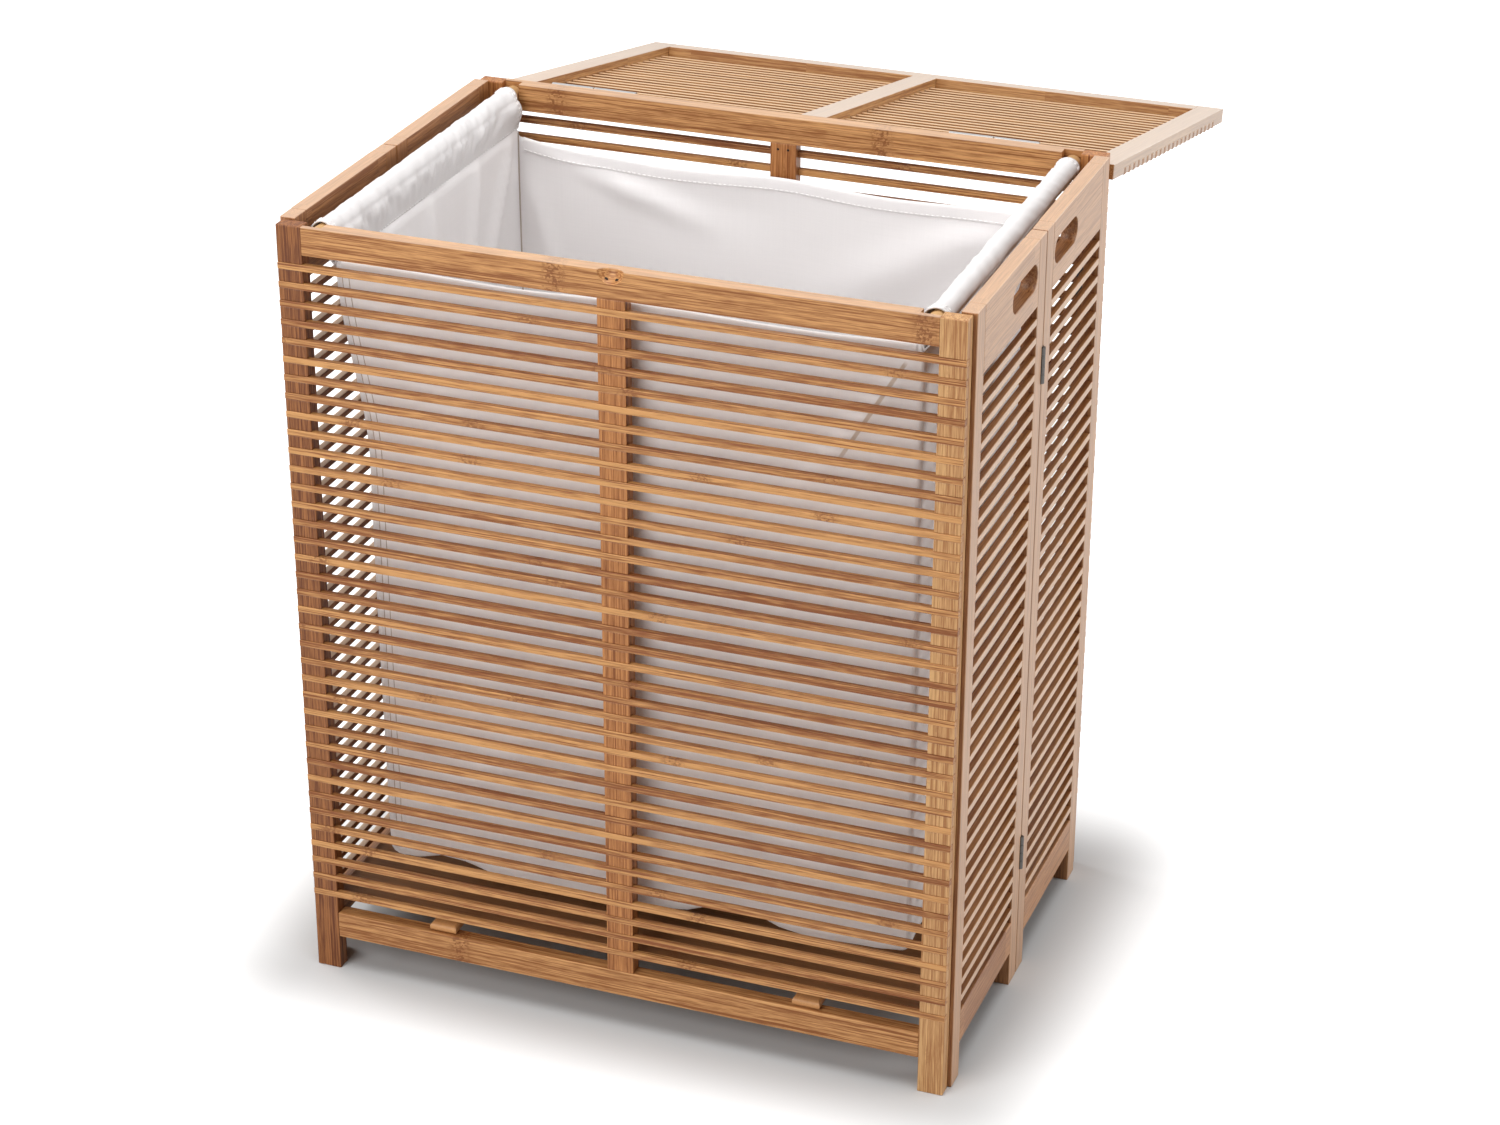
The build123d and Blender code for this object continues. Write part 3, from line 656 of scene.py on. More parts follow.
    def shell(self):
        """Rows of points from the upper edge down the walls, round the bottom edge and in to the middle."""
        s = sizes()
        walls = self.wall(np.linspace(0, 1, self.WALL_ROWS)[:, None] ** 0.9)
        last, centre = walls[-1], np.array((0, SEAM_Y, 0))
        turn = np.linspace(0, pi / 2, self.TURN_ROWS)[1:, None]
        x, y, _ = (last - centre).T
        shrink = 1 - s.bottom_round * (1 - np.cos(turn)) / np.hypot(x, y)
        low = last[:, 2] - s.bottom_round * np.sin(turn)
        edge = np.stack([x * shrink, SEAM_Y + y * shrink, low], axis=-1)
        share = np.linspace(1, 0, self.BOTTOM_ROWS)[1:-1, None]
        x, y, z = (edge[-1] - centre).T
        ruffle = 1.5 * MM * np.sin(x * share / 0.03) * np.sin(y * share / 0.026) * (1 - share**4)
        mean = z.mean()
        height = mean + (z - mean) * share**2 - s.bottom_sag * (1 - share**2) + ruffle
        bottom = np.stack([x * share, SEAM_Y + y * share, height], axis=-1)
        return np.concatenate([walls, edge, bottom]), np.array((0, SEAM_Y, mean - s.bottom_sag))


def cloth_map(points):
    """A flat map of a grid in metres: mean length round a row of the first half, and length down each column."""
    along = np.linalg.norm(np.diff(points[: len(points) // 2], axis=1), axis=-1).mean(axis=0)
    down = np.linalg.norm(np.diff(points, axis=0), axis=-1)
    u = np.concatenate([[0], np.cumsum(along)])
    v = np.concatenate([np.zeros((1, points.shape[1])), np.cumsum(down, axis=0)])
    return np.stack([np.broadcast_to(u, v.shape), v], axis=-1)


def sleeve_points(side):
    """The sleeve of one rod: a drop-shaped loop carried along the rod. Its upper half is a loose circle over the rod.
    Its inner face bulges and falls to the seam, and its outer face slants in to it. Slanting lumps, sums of sine waves
    of the length and the turn, run over it. The ends spread inwards and have a thicker turned hem."""
    s = sizes()
    rows, over_columns, fall_columns = 220, 20, 16
    along = np.linspace(BAG_LOW.y + 0.5 * MM, BAG_HIGH.y - 0.5 * MM, rows)[:, None]
    middle = along - SEAM_Y
    end = np.abs(middle) / np.abs(middle).max()
    over = np.linspace(-pi / 2, pi / 2, over_columns)[None, :]
    fall = (np.arange(1, fall_columns + 1) / (fall_columns + 1))[None, :]
    spread = s.sleeve_flare * unit((end - 0.66) / 0.34) ** 2 * np.where(middle < 0, 1.0, 0.6)
    hem = 0.5 * MM * unit((end - 0.95) / 0.006)

    def lumps(turn):
        warp = middle + 0.009 * np.sin(middle / 0.027 + 2 * side) + 0.004 * turn * np.sin(middle / 0.05)
        slow = np.sin(warp / 0.0078 + 1.2 * turn + 2 * side) * (0.55 + 0.45 * np.sin(warp / 0.031 + 1.7 * side))
        fast = np.sin(warp / 0.0047 - 1.9 * turn + side) * np.sin(warp / 0.017 + side)
        fine = np.sin(warp / 0.0021 + 2.3 * turn + side) * np.sin(warp / 0.0073 - turn + 2 * side)
        return 0.5 + 0.5 * slow + 0.25 * fast + 0.32 * fine

    loose = ROD_RADIUS + s.sleeve_loose + hem
    deep = s.sleeve_drop + 0.5 * MM * np.sin(middle / 0.03)
    round_over = loose + (0.5 + 0.85 * unit(over / pi + 0.5)) * MM * lumps(over).clip(0)
    start = round_over[:, -1:]
    belly = np.sin(pi * fall**0.7) * (1 - 0.6 * fall) * (0.8 * MM + spread + 2.5 * MM * lumps(pi / 2 + 2.2 * fall))
    down_in = start + (s.seam_in - start) * fall + belly
    back = fall[:, ::-1]
    outer = 0.9 * loose
    rise_in = -outer + (s.seam_in + outer) * back**1.15 - 1.0 * MM * np.sin(pi * back)
    inward = np.concatenate([round_over * np.sin(over), down_in, s.seam_in + 0 * deep, rise_in], axis=1)
    up = np.concatenate([round_over * np.cos(over), -deep * fall, -deep, -deep * back], axis=1)
    tilt = 0.9 * MM * np.sin(np.linspace(0, 4 * pi, inward.shape[1]) + side) * unit((end - 0.9) / 0.1)
    return np.stack([side * (ROD.x - inward), along + tilt, ROD.z + up], axis=-1)


def swept_cord(line, radius, sides=6):
    """A round cord carried along a line that runs mostly downwards."""
    turn = np.arange(sides) / sides * 2 * pi
    ring = np.stack([np.cos(turn), np.sin(turn), 0 * turn], axis=-1) * radius
    return line[:, None] + ring[None]


def bead():
    """A small rounded bar of unit length and unit thickness along X: three rings and two tips, closed."""
    count = 6
    ring = np.arange(count)
    turn = ring / count * 2 * pi
    place, wide = np.array([(-0.36, 0.8), (0.0, 1.0), (0.36, 0.8)]).T[..., None]
    rings = np.stack([place + 0 * turn, 0.5 * wide * np.cos(turn), 0.5 * wide * np.sin(turn)], axis=-1)
    points = np.concatenate([rings.reshape(-1, 3), [(-0.5, 0, 0), (0.5, 0, 0)]])
    after, last, tip = (ring + 1) % count, 2 * count, 3 * count
    start = np.stack([np.full(count, tip), ring, after], axis=-1)
    end = np.stack([np.full(count, tip + 1), last + after, last + ring], axis=-1)
    return points, [grid_faces(3, count, wrap=True)[:, ::-1], np.concatenate([start, end])]


def stitches(lines):
    """Beads of thread along lines of points, each given with the direction that its cloth faces."""
    s = sizes()
    shape, faces = bead()
    x, y, z = shape.T[:, None, :, None]
    points = []

    def normalised(ways):
        return ways / np.linalg.norm(ways, axis=1)[:, None].clip(1e-9)

    for line, facing in lines:
        steps = np.concatenate([[0], np.cumsum(np.linalg.norm(np.diff(line, axis=0), axis=1))])
        at = np.arange(s.stitch_gap / 2, steps[-1], s.stitch_gap)
        spot, ahead, face = [
            np.stack([np.interp(place, steps, values[:, i]) for i in range(3)], axis=-1)
            for place, values in ((at, line), (at + 0.5 * MM, line), (at, facing))
        ]
        ahead = normalised(ahead - spot)
        face = normalised(face - (face * ahead).sum(axis=1)[:, None] * ahead)
        aside = np.cross(face, ahead)
        across = y * aside[:, None] + z * face[:, None]
        points.append(spot[:, None] + x * s.stitch * ahead[:, None] + s.thread * across)
    return copies(np.concatenate(points), shape, faces)


def fasten(name, body, spots, facing, material, radius, rise, slotted):
    """Round fastener heads on one plane, as one piece: a turned profile from the rim up to the crown, dished by a cross
    if slotted."""
    columns = 20
    out, up = np.array(
        [(1.0, -0.6), (1.0, 0.0), (0.92, 0.5), (0.7, 0.86), (0.42, 0.97), (0.2, 1.0), (0.0, 1.0)]
    ).T[..., None]
    facing = np.asarray(facing, float)
    aside = np.cross(facing, (1.0, 0, 0) if abs(facing[0]) < 0.9 else (0, 1.0, 0))
    aside = aside / np.linalg.norm(aside)
    turn = np.arange(columns) / columns * 2 * pi
    cross = np.abs(np.sin(2 * turn)) < 0.35
    up = (up - 0.9 * slotted * cross * (out < 0.6)) * rise
    wide = out * radius
    parts = ((wide * np.cos(turn), aside), (wide * np.sin(turn), np.cross(facing, aside)), (up, facing))
    shape = sum(far[..., None] * way for far, way in parts).reshape(-1, 3)
    points, faces = copies(np.asarray(spots, float), shape, [grid_faces(len(out), columns, wrap=True)])
    new_piece(name, body, points, faces, material, "hinge_steel")


class HAMPER_OT_frame(bpy.types.Operator):
    """Bamboo on the posts, stiles and rails of the panels, the leaves and the lid"""

    bl_idname = "hamper.frame"
    bl_label = "Frame"

    # strips of the wood: axis, start, pitch and weight
    UPRIGHT = ((0, 0.0, 2.7 * MM, 1.0), (1, 0.0, 4.3 * MM, 17.0))
    PLAIN = ((2, 0.0, 0.31, 3.0), (1, 0.0, 0.11, 11.0))
    LID = ((0, 0.0, 0.11, 3.0), (1, 0.0, 0.14, 7.0))
    # places of the cane's joints along the rails
    FRONT_JOINT, REAR_JOINT, LOW_JOINT = -43 * MM, 81 * MM, -135 * MM

    def execute(self, context):
        edge = sizes().edge_round
        self.panels(colours(), edge)
        self.leaves(colours(), edge)
        self.lid(colours(), edge)
        return {"FINISHED"}

    def panels(self, c, edge):
        # name, pale and dark grain, spread of the strips' tones, streaks and joints
        posts = {
            "front_left_post": ("brown_post", c.brown_light, c.brown_dark, 0.45, 0.90, 0.5),
            "front_right_post": ("pale_post", c.pale_light, c.pale_dark, 0.40, 1.00, 0.3),
        }
        for node, (name, light, dark, *grain) in posts.items():
            dress([node], bamboo(f"bamboo_{name}", "Z", light, dark, self.UPRIGHT, *grain), edge)
        others = named("post", without=posts) + named("centre_stile")
        wood = bamboo(
            "bamboo_posts", "Z", c.post_light, c.post_dark, self.UPRIGHT, spread=0.35, streaks=0.75, nodes=0.4
        )
        dress(others, wood, edge)
        # painted highlight on the rails' top faces, where the light from above falls
        top = {"painted_highlight": [(2, PANEL_TOP - SKIN, 0.40)]}
        rails = (
            ("front_rails", ["front_top_rail"], 1.0, 2.5, self.FRONT_JOINT, top),
            ("rear_rails", ["rear_top_rail", "rear_bottom_rail"], 0.95, 8.5, self.REAR_JOINT, top),
            ("front_bottom_rail", ["front_bottom_rail"], 1.0, 5.5, self.LOW_JOINT, {"gaps": 3}),
        )
        for name, nodes, depth, seed, joint, more in rails:
            wood = bamboo(
                f"bamboo_{name}", "X", c.frame_light, c.frame_dark, self.PLAIN, spread=0.10, streaks=0.85,
                nodes=depth, seed=seed, shift=joint, wander=0.0, **more,
            )
            dress(nodes, wood, edge)

    def leaves(self, c, edge):
        # painted highlight: sheen on the leaves' outer faces and light on their top edges
        pale = [(0, LEAF_FACE - SKIN, 0.32), (2, LEAF_TOP - SKIN, 0.45)]
        low_pale = [(0, LEAF_FACE - SKIN, 0.08)]
        for name, nodes, grain, strips, spread, depth, seed, painted_highlight in (
            ("stiles", named("leaf", "stile"), "Z", self.UPRIGHT, 0.20, 0.2, 0.5, pale),
            ("rails", named("leaf", "handle_rail"), "Y", self.PLAIN, 0.15, 0.3, 0.5, pale),
            ("bottom_rails", named("leaf", "bottom_rail"), "Y", self.PLAIN, 0.40, 0.3, 4.5, low_pale),
        ):
            wood = bamboo(
                f"bamboo_leaf_{name}", grain, c.leaf_light, c.leaf_dark, strips, spread, streaks=0.95, nodes=depth,
                seed=seed, gloss=0.45, painted_highlight=painted_highlight,
            )
            dress(nodes, wood, edge)

    def lid(self, c, edge):
        # painted highlight on the lid frame's top faces and on its right stile's outer face
        pale = [
            (2, highest("lid_left_stile", LID_TILT) - THIN_SKIN, 0.82),
            (0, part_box("lid_right_stile")[1].x - SKIN, 0.60),
        ]
        for name, nodes, grain, depth in (
            ("stiles", ["lid_left_stile", "lid_right_stile", "lid_centre_bar"], "Y", 0.2),
            ("rails", ["lid_front_rail", "lid_rear_rail"], "X", 0.4),
        ):
            wood = bamboo(
                f"bamboo_lid_{name}", grain, c.lid_light, c.lid_dark, self.LID, spread=0.35, streaks=0.85, nodes=depth,
                tilt=LID_TILT, painted_highlight=pale, painted_highlight_tone=c.lid_face_highlight,
            )
            dress(nodes, wood, edge)


class HAMPER_OT_slats(bpy.types.Operator):
    """Bamboo on the slats, each with a tone of its own"""

    bl_idname = "hamper.slats"
    bl_label = "Slats"

    UNDER = 4.8 * MM  # the lowest slat's underside down to the start of its step

    def execute(self, context):
        c, edge = colours(), sizes().slat_round
        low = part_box("front_slats")[0].z - self.UNDER
        leaf_low, leaf_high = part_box("front_left_leaf_slats")
        panel = [(2, low, SLAT_PITCH, 1.0), (1, SEAM_Y, 1.0, 91.0)]
        side = [(2, leaf_low.z - self.UNDER, LEAF_PITCH, 1.0), (1, SEAM_Y, 1.0, 53.0), (0, 0.0, 1.0, 131.0)]
        lid_start = REAR * cos(LID_TILT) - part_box("lid_rear_rail")[1].z * sin(LID_TILT)
        across = bamboo(
            "bamboo_panel_slats", "X", c.slat_light, c.slat_dark, panel, spread=0.75, streaks=0.90, nodes=0.85, seed=3.5
        )
        dress(["front_slats", "rear_slats"], across, edge)
        # painted highlight: sheen on the slats' outer faces, and on the left leaves light on each slat's top face
        left_pale = [(0, -leaf_low.x - SKIN, 0.60), (2, leaf_high.z, 0.80, LEAF_PITCH)]
        right_pale = [(0, LEAF_FACE - SKIN, 0.60)]
        # the left slats' darker tones are painted shade
        for word, light, dark, gloss, painted_highlight in (
            ("left", c.left_painted_shade_light, c.left_painted_shade_dark, 0.25, left_pale),
            ("right", c.leaf_slat_light, c.leaf_slat_dark, 0.45, right_pale),
        ):
            wood = bamboo(
                f"bamboo_{word}_leaf_slats", "Y", light, dark, side, spread=0.5, streaks=0.6, nodes=0.4, seed=7.5,
                gloss=gloss, painted_highlight=painted_highlight,
            )
            dress(named(f"{word}_leaf", "slats"), wood, edge)
        # painted highlight on the lid slats' top faces
        lidded = bamboo(
            "bamboo_lid_slats", "X", c.lid_slat_light, c.lid_slat_dark, [(1, lid_start, SLAT_PITCH, 1.0)], spread=0.40,
            streaks=0.50, nodes=0.5, tilt=LID_TILT, seed=11.5,
            painted_highlight=[(2, highest("lid_slats", LID_TILT) - THIN_SKIN, 0.75)], painted_highlight_tone=c.lid_slat_highlight,
        )
        dress(["lid_slats"], lidded, edge)
        return {"FINISHED"}


class HAMPER_OT_hinges(bpy.types.Operator):
    """Plated steel on the hinges, with their screws"""

    bl_idname = "hamper.hinges"
    bl_label = "Hinges and screws"

    PLATE, HEAD_RISE = 1.0 * MM, 0.2 * MM
    # lid hinges: length, step of the screws, the pin's place, and the screws' places from the pin
    LID_RUN, LID_STEP = 72 * MM, 26 * MM
    LID_PIN_BACK, LID_PIN_UP = 4.4 * MM, 620.6 * MM
    FIXED_DROP, MOVING_DROP, MOVING_OUT = 8.6 * MM, 4.9 * MM, 10.5 * MM
    # corner hinges: heights of the screws, and their places on the panels and on the leaves
    CORNER_HEIGHTS = (104.0 * MM, 118.5 * MM, 515.0 * MM, 529.5 * MM)
    PANEL_SCREW_X, LEAF_INSIDE, LEAF_SCREW_IN = 243.7 * MM, 250.0 * MM, 21.9 * MM

    def execute(self, context):
        steel = steel_finish("plated_steel", colours().steel)
        dress(named("hinge", without=("lid",)), steel)
        dress(named("hinge", "lid"), steel_finish("bright_steel", colours().bright_steel))
        self.lid_screws(steel)
        self.corner_screws(steel)
        return {"FINISHED"}

    def screws(self, name, body, spots, facing, steel):
        fasten(f"{name}_hinge_screws", body, spots, facing, steel, sizes().screw_head, self.HEAD_RISE, slotted=1.0)

    def lid_screws(self, steel):
        """Three screws in each plate of the two lid hinges."""
        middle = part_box("rear_lid_hinge_plates")[1].x - self.LID_RUN / 2
        across = [side * middle + step for side in (-1, 1) for step in (-self.LID_STEP, 0, self.LID_STEP)]
        fixed = [(x, REAR + self.PLATE, self.LID_PIN_UP - self.FIXED_DROP) for x in across]
        self.screws("rear_lid", "rear_panel", fixed, (0, 1, 0), steel)
        ahead, up = np.array((0, cos(LID_TILT), -sin(LID_TILT))), np.array((0, sin(LID_TILT), cos(LID_TILT)))
        pin = np.array((0, REAR + self.LID_PIN_BACK, self.LID_PIN_UP))
        inner = pin - self.MOVING_DROP * up + self.MOVING_OUT * ahead
        self.screws("lid", "lid", [inner + (x, 0, 0) for x in across], up, steel)

    def corner_screws(self, steel):
        """Two screws in each plate of the corner hinges, on the panels and on the leaves."""
        sides = ((-1, "left"), (1, "right"))
        for word, y, way in (("front", FRONT, 1), ("rear", REAR, -1)):
            inside = y + way * (STOCK + self.PLATE)
            spots = [(side * self.PANEL_SCREW_X, inside, z) for side, _ in sides for z in self.CORNER_HEIGHTS]
            self.screws(f"{word}_corner", f"{word}_panel", spots, (0, way, 0), steel)
            for side, name in sides:
                body = f"{word}_{name}_leaf"
                spots = [(side * self.LEAF_INSIDE, y + way * self.LEAF_SCREW_IN, z) for z in self.CORNER_HEIGHTS]
                self.screws(body, body, spots, (-side, 0, 0), steel)


class HAMPER_OT_brads(bpy.types.Operator):
    """Dark nail heads in the front rail's scoop and at the top of the rear centre stile"""

    bl_idname = "hamper.brads"
    bl_label = "Brads"

    ASIDE, RAIL_DROP, STILE_DROP, HEAD_RISE = 4.2 * MM, 7.5 * MM, 5.0 * MM, 0.15 * MM

    def execute(self, context):
        head, dark = sizes().brad_head, colours().brad
        black = metal_finish(
            "blackened_brads", rgba(dark), rgba(dark, 1.6), rough_span=0.2, rough_least=0.4, metallic=0.6, scratches=0.0
        )
        low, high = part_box("front_top_rail")
        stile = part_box("rear_centre_stile")[0].y
        both = (-self.ASIDE, self.ASIDE)
        scoop = [self.on_face("front_top_rail", x, low.y, high.z - self.RAIL_DROP) for x in both]
        top = [(x, stile, low.z - self.STILE_DROP) for x in both]
        for name, body, spots, radius in (
            ("front_rail_brads", "front_panel", scoop, head), ("rear_stile_brads", "rear_panel", top, 0.7 * head)
        ):
            fasten(name, body, spots, (0, -1, 0), black, radius, self.HEAD_RISE, slotted=0.0)
        return {"FINISHED"}

    def on_face(self, node, x, y, z):
        """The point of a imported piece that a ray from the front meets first."""
        hit, spot, _, _ = NODES[node].ray_cast(Vector((x, y - 50 * MM, z)), Vector((0, 1, 0)))
        if not hit:
            raise RuntimeError(f"no face of {node} at {x}, {z}")
        return tuple(spot)


class HAMPER_OT_floor(bpy.types.Operator):
    """Bamboo battens and the floor board"""

    bl_idname = "hamper.floor"
    bl_label = "Floor"

    STRIP = 24 * MM

    def execute(self, context):
        c = colours()
        battens = bamboo(
            "bamboo_battens", "Y", c.leaf_light, c.slat_light, [(0, 0.0, 1.0, 5.0)], spread=0.3, streaks=0.3, nodes=0.2
        )
        board = bamboo(
            "board", "X", c.board_light, c.board_dark, [(1, 0.0, self.STRIP, 1.0)], spread=0.5, streaks=0.4, nodes=0.5
        )
        dress(["floor_battens"], battens)
        dress(["floor_board"], board, sizes().slat_round)
        return {"FINISHED"}


class HAMPER_OT_rods(bpy.types.Operator):
    """Wood on the two liner rods"""

    bl_idname = "hamper.rods"
    bl_label = "Liner rods"

    def execute(self, context):
        rod = colours().rod
        dark = rgba(rod, 0.8)[:3]
        wood = bamboo("rod_wood", "Y", rod, dark, [(0, 0.0, 1.0, 5.0)], spread=0.3, streaks=0.4, nodes=0.0)
        dress(named("liner_rod"), wood, sizes().edge_round)
        return {"FINISHED"}


class HAMPER_OT_liner(bpy.types.Operator):
    """The cotton bag with its sleeves, hems, seams and stitching"""

    bl_idname = "hamper.liner"
    bl_label = "Liner"

    WEAVE, TWIST = 0.8 * MM, 0.4 * MM  # steps of the cloth's threads and of the sewing thread's strands
    CREASE_SHADE = ((0.414, 0.013), (0.361, 0.104))  # ends of the painted crease shade on the bag's map, along a fold of the front wall
    SLEEVE_SHADE = 0.84  # painted shade on the sleeves: their cotton's colour as a share of the bag's
    PROUD = 0.3 * MM  # seams and stitches over their cloth

    def execute(self, context):
        c = colours()
        cotton = cotton_finish("liner_cotton", c.cotton, self.WEAVE)
        shaded_sleeve_cotton = cotton_finish("liner_sleeve_cotton_painted_shade", c.cotton, self.WEAVE, self.SLEEVE_SHADE)
        crease_shaded = cotton_finish("liner_cotton_painted_crease_shade", c.cotton, self.WEAVE, crease_shade=self.CREASE_SHADE)
        shape = BagShape()
        bag = self.bag(shape, crease_shaded)
        extras, lines = [], []
        for side, word in ((-1, "left"), (1, "right")):
            sleeve = sleeve_points(side)
            extras.append(self.cloth(f"liner_{word}_sleeve", sleeve, shaded_sleeve_cotton, True, flip=side > 0))
            thicken(extras[-1], sizes().cloth, -1.0)
            lines += self.sleeve_lines(sleeve, side)
        for word, way in (("front", -1), ("rear", 1)):
            loop, hem_lines = self.hem(shape, way)
            extras.append(self.cloth(f"liner_{word}_hem", loop, cotton, False, flip=way > 0))
            lines += hem_lines
        sewing = cotton_finish("sewing_thread", c.thread, self.TWIST)
        extras.append(new_piece("liner_stitching", "liner", *stitches(lines), sewing, "liner_cotton"))
        # the seams' tan is partly painted shade along the corners
        extras.append(self.corner_seams(shape, cotton_finish("seam_thread_painted_shade", c.seam, self.TWIST)))
        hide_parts("liner_bag")
        return {"FINISHED"}

    def cloth(self, name, grid, cotton, wrap, flip):
        """A grid of points as cloth."""
        faces = [grid_faces(len(grid), grid.shape[1], wrap)]
        return new_piece(name, "liner", grid, faces, cotton, "liner_cotton", cloth_map(grid), flip)

    def bag(self, shape, cotton):
        """The bag's shell: a grid of quads that closes on one point in the middle of the bottom."""
        rows, pole = shape.shell()
        count = rows.shape[1]
        points = np.concatenate([rows.reshape(-1, 3), [pole]])
        faces = grid_faces(len(rows), count, wrap=True)[:, ::-1]
        ring = (len(rows) - 1) * count + np.arange(count)
        tip = np.stack([np.full(count, len(points) - 1), np.roll(ring, -1), ring], axis=-1)
        flat = cloth_map(rows).reshape(-1, 2)
        flat = np.concatenate([flat, flat[-1:]])
        made = new_piece("liner", "liner", points, [faces, tip], cotton, "liner_cotton", flat)
        thicken(made, sizes().cloth)
        return made

    def sleeve_lines(self, sleeve, side):
        """Seams of a sleeve: along its drop on both faces, and two rounds near each end."""
        low = sleeve[..., 2].mean(axis=0).argmin()
        lines = []
        for column, way in ((low - 1, -side), (low + 1, side)):
            line = sleeve[2:-2, column] + np.array((way * self.PROUD, 0, 0))
            lines.append((line, np.broadcast_to((float(way), 0.0, 0.0), line.shape)))
        centre = np.array((side * ROD.x, 0, ROD.z))
        for row in (2, 4, -3, -5):
            loop = np.concatenate([sleeve[row], sleeve[row, :1]])
            out = loop - centre
            out[:, 1] = 0
            out /= np.linalg.norm(out, axis=1)[:, None]
            lines.append((loop + self.PROUD / 2 * out, out))
        return lines

    def hem(self, shape, way):
        """A turned hem: a flattened loop carried along the upper edge of the front or rear wall, and its lines of
        stitches on both faces."""
        s = sizes()
        columns = np.flatnonzero((way * shape.out_y > 0.6) & (np.abs(shape.x0) < shape.half_x - 3 * MM))
        columns = columns[np.argsort(shape.x0[columns])]
        turn = np.arange(25) / 24 * 2 * pi
        across, up = [np.sign(v) * np.abs(v) ** 0.55 for v in (np.cos(turn), np.sin(turn))]
        thick = s.cloth * 1.5
        drop = s.hem_width / 2 - (s.hem_width / 2 + 0.7 * MM) * up
        normal = shape.out[columns]
        loop = shape.below(drop.clip(0))[:, columns] + (thick * across)[:, None, None] * normal
        loop[..., 2] += np.clip(-drop, 0, None)[:, None]
        base = shape.below([s.hem_width - 1.2 * MM])[0, columns]
        return loop, [(base + face * (thick + 0.1 * MM) * normal, face * normal) for face in (-1, 1)]

    def topstitches(self, shape):
        """Two lines down the front wall beside its left seam."""
        walls = shape.wall(np.linspace(0.02, 0.97, 120)[:, None])
        front = np.flatnonzero(shape.out_y < -0.9)
        order = front[np.argsort(shape.x0[front])]
        return [walls[:, order[place]] - np.array((0, 0.5 * MM, 0)) for place in (1, 2)]

    def corner_seams(self, shape, seams):
        """A cord down each upright corner, on the bag's inner face, and the thin lines of the topstitching."""
        s = sizes()
        walls = shape.wall(np.linspace(0.0, 0.98, 90)[:, None]) - 2 * self.PROUD * shape.out
        corner = np.abs(shape.out_x * shape.out_y) > 0.49
        lines = []
        for i, j in ((-1, -1), (-1, 1), (1, -1), (1, 1)):
            column = np.flatnonzero((np.sign(shape.out_x) == i) & (np.sign(shape.out_y) == j) & corner)[0]
            lines.append((walls[:, column], s.seam_cord))
        lines += [(line, s.topstitch) for line in self.topstitches(shape)]
        points, faces, count = [], [], 0
        for line, radius in lines:
            cord = swept_cord(line, radius)
            faces.append(grid_faces(len(cord), cord.shape[1], wrap=True) + count)
            points.append(cord.reshape(-1, 3))
            count += len(points[-1])
        return new_piece(
            "liner_corner_seams", "liner", np.concatenate(points), faces, seams, "liner_cotton", flip=True
        )


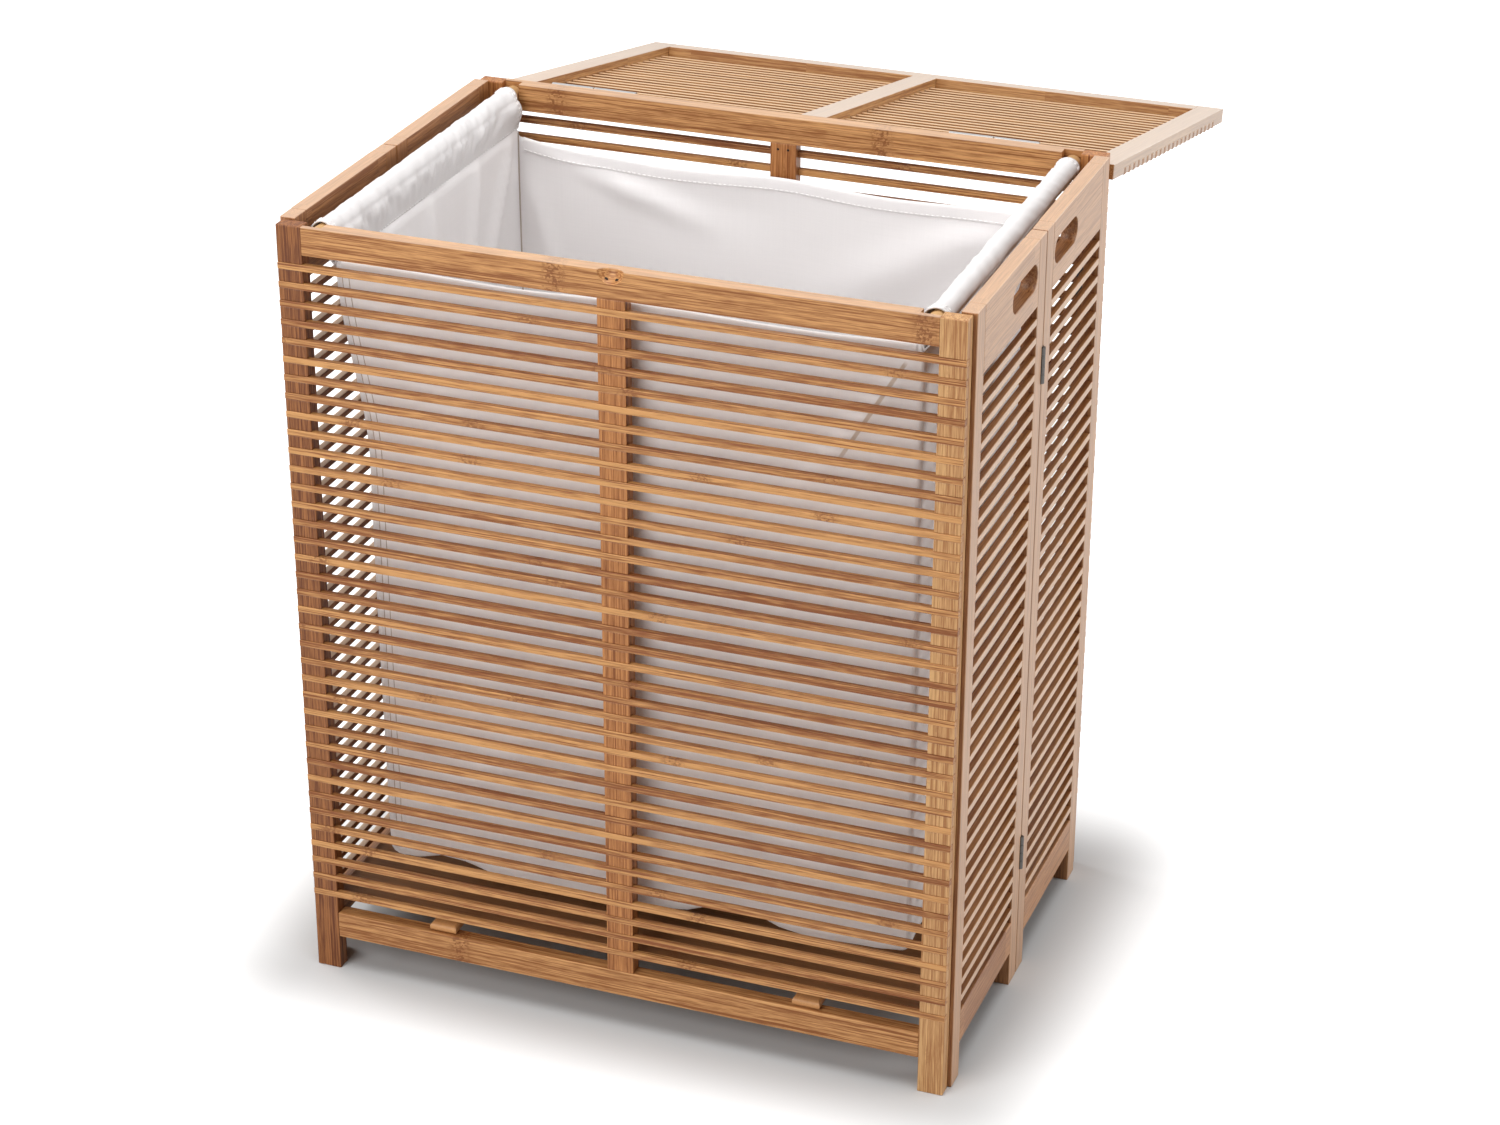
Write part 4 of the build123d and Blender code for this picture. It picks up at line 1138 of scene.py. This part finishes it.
class HAMPER_OT_stage(bpy.types.Operator):
    """Pale floor, soft lamps and the camera"""

    bl_idname = "hamper.stage"
    bl_label = "Studio"

    # name, place, target, size and power
    LAMPS = (
        ("overhead", (0.1, -0.6, 3.3), (0.0, 0.0, 0.5), 2.2, 86.0),
        ("right", (3.2, 0.4, 1.0), (0.1, 0.0, 0.35), 1.5, 46.0),
        ("front", (-0.9, -2.6, 1.5), (0.0, -0.2, 0.6), 1.8, 53.0),
        ("left", (-2.8, 0.4, 2.0), (-0.25, 0.0, 0.4), 1.2, 30.0),
        ("rear", (0.6, 3.2, 1.5), (0.0, 0.0, 0.35), 1.4, 18.0),
    )
    WORLD_LIGHT = 0.12
    FLOOR_REACH = 12.0
    # glow of the floor just outside the shadow and far off, and how far from the hamper each is reached
    GLOW_BESIDE, GLOW_FAR = 0.70, 1.0
    BESIDE, FAR = 0.12, 2.5
    LENS, SENSOR = 83.721, 36.0
    CAMERA_AT, CAMERA_TURN = (0.8775, -2.46097, 1.50459), (64.0128, -0.2298, 20.4011)

    def execute(self, context):
        scene = context.scene
        scene.view_settings.view_transform = "Standard"
        self.world(scene)
        self.ground(scene)
        for name, place, target, size, power in self.LAMPS:
            lamp = bpy.data.lights.new(name, "AREA")
            lamp.shape, lamp.size, lamp.energy = "SQUARE", size, power
            made = bpy.data.objects.new(name, lamp)
            made.location = place
            made.rotation_euler = (Vector(target) - Vector(place)).to_track_quat("-Z", "Y").to_euler()
            scene.collection.objects.link(made)
        self.camera(scene)
        return {"FINISHED"}

    def world(self, scene):
        """Even white light, which the camera sees as white."""
        scene.world = bpy.data.worlds.new("studio")
        scene.world.use_nodes = True
        back = scene.world.node_tree.nodes["Background"].inputs
        back["Color"].default_value = (1, 1, 1, 1)
        (seen_rays(scene.world.node_tree) * (1.0 - self.WORLD_LIGHT) + self.WORLD_LIGHT).to(back["Strength"])

    def ground(self, scene):
        """A wide pale floor. For the camera it glows away from the hamper, so that it is white outside the shadow."""
        corners = [(x * self.FLOOR_REACH, y * self.FLOOR_REACH, 0) for x, y in ((-1, -1), (1, -1), (1, 1), (-1, 1))]
        mesh = bpy.data.meshes.new("floor")
        mesh.from_pydata(corners, [], [(0, 1, 2, 3)])
        made, tree, sockets = new_material(
            "studio_floor", Base_Color=rgba(colours().floor), Roughness=0.9, Specular_IOR_Level=0.0,
            Emission_Strength=1.0,
        )
        x, y, _ = coordinates(tree, "Object").parts()
        aside = (abs(x) - LEAF_FACE).math("MAXIMUM", 0.0)
        ahead = (abs(y - SEAM_Y) - (REAR - SEAM_Y)).math("MAXIMUM", 0.0)
        away = Wire(put(tree, "ShaderNodeCombineXYZ", {0: aside, 1: ahead}).outputs[0]).vector("LENGTH", {}, "Value")
        near = away.ease(0.0, self.BESIDE, 0.0, self.GLOW_BESIDE)
        glow = near + away.ease(self.BESIDE, self.FAR, 0.0, self.GLOW_FAR - self.GLOW_BESIDE)
        (seen_rays(tree) * glow).mixed((0, 0, 0, 1), (1, 1, 1, 1)).to(sockets["Emission Color"])
        mesh.materials.append(made)
        floor = bpy.data.objects.new("floor", mesh)
        scene.collection.objects.link(floor)

    def camera(self, scene):
        """The view of the photograph."""
        camera = bpy.data.cameras.new("camera")
        camera.sensor_fit, camera.sensor_width, camera.lens = "HORIZONTAL", self.SENSOR, self.LENS
        made = bpy.data.objects.new("camera", camera)
        made.location = self.CAMERA_AT
        made.rotation_euler = Euler([radians(turn) for turn in self.CAMERA_TURN])
        scene.collection.objects.link(made)
        scene.camera = made


class HAMPER_PT_panel(bpy.types.Panel):
    """Lists the hamper's pieces, sizes and colours"""

    bl_idname = "HAMPER_PT_panel"
    bl_label = "Hamper"
    bl_space_type = "VIEW_3D"
    bl_region_type = "UI"
    bl_category = "Hamper"

    def draw(self, context):
        for step in OPERATORS:
            self.layout.operator(step.bl_idname)
        for group in (sizes(), colours()):
            for name in group.__annotations__:
                self.layout.prop(group, name)


OPERATORS = (
    HAMPER_OT_stage, HAMPER_OT_frame, HAMPER_OT_slats, HAMPER_OT_hinges, HAMPER_OT_brads,
    HAMPER_OT_floor, HAMPER_OT_rods, HAMPER_OT_liner,
)
CLASSES = (HamperSizes, HamperColours, *OPERATORS, HAMPER_PT_panel)


def register():
    for each in CLASSES:
        bpy.utils.register_class(each)
    bpy.types.Scene.hamper_sizes = PointerProperty(type=HamperSizes)
    bpy.types.Scene.hamper_colours = PointerProperty(type=HamperColours)


def unregister():
    del bpy.types.Scene.hamper_sizes, bpy.types.Scene.hamper_colours
    for each in reversed(CLASSES):
        bpy.utils.unregister_class(each)


def main():
    """Build every piece in order."""
    register()
    for build in (build_bamboo_group, build_weave_group, build_brushed_group):
        build()
    for step in OPERATORS:
        group, name = step.bl_idname.split(".")
        getattr(getattr(bpy.ops, group), name)()


if __name__ == "__main__":
    main()
